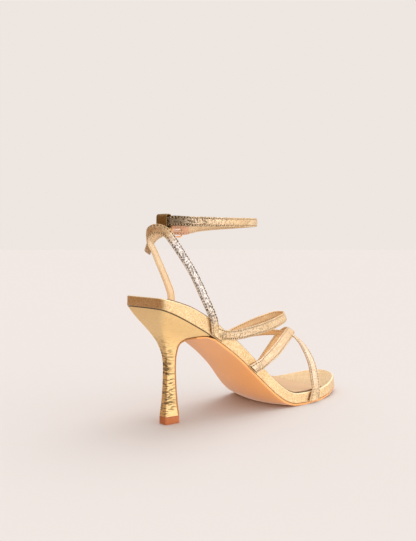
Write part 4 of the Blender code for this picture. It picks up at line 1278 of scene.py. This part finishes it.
def area_light(name, lit, place, aim, size, power, colour, mirrored):
    """Soft box that looks at a point and lights a collection; mirrored is whether polished
    faces show it."""
    data = bpy.data.lights.new(name, "AREA")
    data.shape = "RECTANGLE"
    data.size, data.size_y = size
    data.energy, data.color = power, colour
    data.cycles.max_bounces = 1024 if mirrored else 0
    lamp = linked(name, data)
    lamp.visible_glossy = mirrored
    lamp.light_linking.receiver_collection = lit
    lamp.location = place
    lamp.rotation_euler = aimed(Vector(aim) - Vector(place))


def world_light(world):
    """World light: a pale tone all round, dim on the shoe's shaded side and bright on its lit
    side. Each lobe is a soft step of the dot product with its own direction, and fades
    away above and below the horizon. Seen past the shoe, it is the plain backdrop."""
    sky = Nodes(world.node_tree)
    way = sky.node("TexCoord").out("Generated")
    height = abs(sky.node("SeparateXYZ", [way]).out("Z"))
    colour = BACKDROP
    for centre, tone, low, high, fade in WORLD_LOBES:
        dot = sky.node("VectorMath", [way, centre], operation="DOT_PRODUCT").out("Value")
        share = dot.smooth(low, high) * height.smooth(fade + FADE_SPAN, fade)
        colour = sky.mix(share, colour, tone)
    seen = sky.node("LightPath").out("Is Camera Ray")
    sky.feed(sky.tree.nodes["Background"].inputs["Color"], sky.mix(seen, colour, BACKDROP))


def set_stage():
    """Pale floor as a wide disc, a soft sun and boxes, and a pale world."""
    radius = np.array([0.0, 1.0, 4.0, 15.0, 60.0, 240.0])
    x, y = radius[:, None] * np.cos(turns(64)), radius[:, None] * np.sin(turns(64))
    rows = np.stack([x, y, np.zeros_like(x)], axis=-1)
    look = Look("pale_floor_paint")
    soft = look.noise(look.place, 3.0, 2.0)
    paler = tuple(part + FLOOR_SPAN for part in FLOOR_TONE)
    look.set(Base_Color=look.mix(soft, FLOOR_TONE, paler))
    look.set(Roughness=0.92 + (soft - 0.5) * 0.05)
    look.set(Specular_IOR_Level=0.0)
    floor = mesh_of("pale_floor", rows, grid_faces(len(radius), 64), [look.material])
    floor.visible_glossy = False
    world = bpy.data.worlds.new("studio")
    bpy.context.scene.world = world
    world.use_nodes = True
    world_light(world)
    sun = bpy.data.lights.new("soft_sun", "SUN")
    sun.energy = 0.95
    sun.angle = math.radians(50.0)
    sun.color = (1.0, 0.985, 0.97)
    linked("soft_sun", sun).rotation_euler = aimed(SUN_WAY)
    lit = bpy.data.collections.new("lit_by_boxes")
    for thing in bpy.context.scene.objects:
        if thing.type == "MESH" and thing != floor:
            lit.objects.link(thing)
    under = bpy.data.collections.new("lit_from_below")
    under.objects.link(bpy.data.objects["tan_outsole"])
    area_light("front_box", lit, *FRONT_BOX)
    area_light("side_fill", lit, *SIDE_FILL)
    area_light("sole_fill", under, *SOLE_FILL)
    bpy.context.scene.view_settings.view_transform = "Standard"
    bpy.context.scene.view_settings.look = "None"


def build():
    """All pieces of the shoe with their finishes."""
    # Painted shade: the dark brown put into joins, grooves, stitch holes and creases.
    crevice_shade = (0.050, 0.026, 0.010)
    gold = ((0.88, 0.665, 0.40), (0.50, 0.285, 0.09), (1.0, 0.90, 0.64), crevice_shade)
    # Painted light: a brighter, warmer copy of the gold foil for the heel, making up for light its
    # sides miss.
    heel_gold_painted_light = ((0.96, 0.70, 0.355), (0.66, 0.39, 0.13), (1.0, 0.86, 0.54), crevice_shade)
    strap_gold = ((0.86, 0.625, 0.375), (0.50, 0.30, 0.115), (0.98, 0.84, 0.62), crevice_shade)
    # Painted shade: a darker copy of the gold foil for the rear loop at the shoe's shaded back.
    painted_shade_gold = ((0.36, 0.22, 0.085), (0.12, 0.065, 0.02), (0.52, 0.35, 0.16), crevice_shade)
    # Painted glare tones: pale, near white, where the gold foil reflects bright light; the last is the
    # black of the specks.
    glare_and_speck_tones = ((1.0, 0.98, 0.97), (0.74, 0.68, 0.64), (0.06, 0.045, 0.035))
    pale = ((0.93, 0.75, 0.51), (0.70, 0.49, 0.28), (0.34, 0.20, 0.09))
    foil = foil_leather("gold_foil", gold, 1.0, 0.00018)
    # Painted light: the heel's foil is also set lighter by its negative offset.
    heel_foil = foil_leather("gold_heel_foil_painted_light", heel_gold_painted_light, 0.5, 0.00012, -0.12, 0.50, 1.0)
    # The rear loop's foil is the darker copy with painted shade.
    loop_foil = foil_leather("painted_shade_gold_foil", painted_shade_gold, 1.0, 0.00014, rough=0.42)
    outer = strap_foil("strap_foil", strap_gold, glare_and_speck_tones)
    lining = strap_lining("pale_strap_lining", pale)
    tan = ((0.77, 0.56, 0.34), (0.52, 0.33, 0.17), crevice_shade)
    warm = ((0.96, 0.72, 0.44), (0.70, 0.46, 0.24), crevice_shade)
    ankle_lining = strap_lining("ankle_lining", tan, blush=(0.2225, 0.2390))
    inside = strap_lining("gold_strap_lining", warm, 0.35, 0.42)
    insole = smooth_leather("pale_insole", (0.80, 0.555, 0.315), (0.64, 0.405, 0.205), 0.46, 0.12)
    resin = outsole_resin("tan_resin")
    rubber = terracotta_rubber("terracotta_rubber")
    metal = plated_metal("rose_gold_plate", (0.88, 0.50, 0.28), (0.55, 0.25, 0.11))
    gold_thread = thread("gold_thread", (0.92, 0.72, 0.46), (0.58, 0.38, 0.19))
    platform_piece(foil)
    sock_piece(insole)
    outsole_piece(resin)
    heel_piece(heel_foil)
    top_piece_piece(rubber)
    for name, (path, strap_t, trims) in upper_paths().items():
        faces = [outer, lining] if name == "sling_strap" else [outer, inside]
        piece = strap_piece(name, path, STRAP_WIDTH, strap_t, trims, faces, STRAP_GLARE_AND_SHADE[name])
        carried(piece, "gold_leather", "upper")
        stitches_piece(name + "_stitches", path, STRAP_WIDTH, strap_t, gold_thread, trims=trims)
    ankle_piece([outer, ankle_lining], STRAP_GLARE_AND_SHADE["ankle_strap"])
    stitches_piece("ankle_strap_stitches", ankle_path(), ANKLE_WIDTH, ANKLE_T, gold_thread, 1)
    rear_loop_piece(loop_foil)
    buckle_pieces(metal)


build()
set_camera()
set_stage()
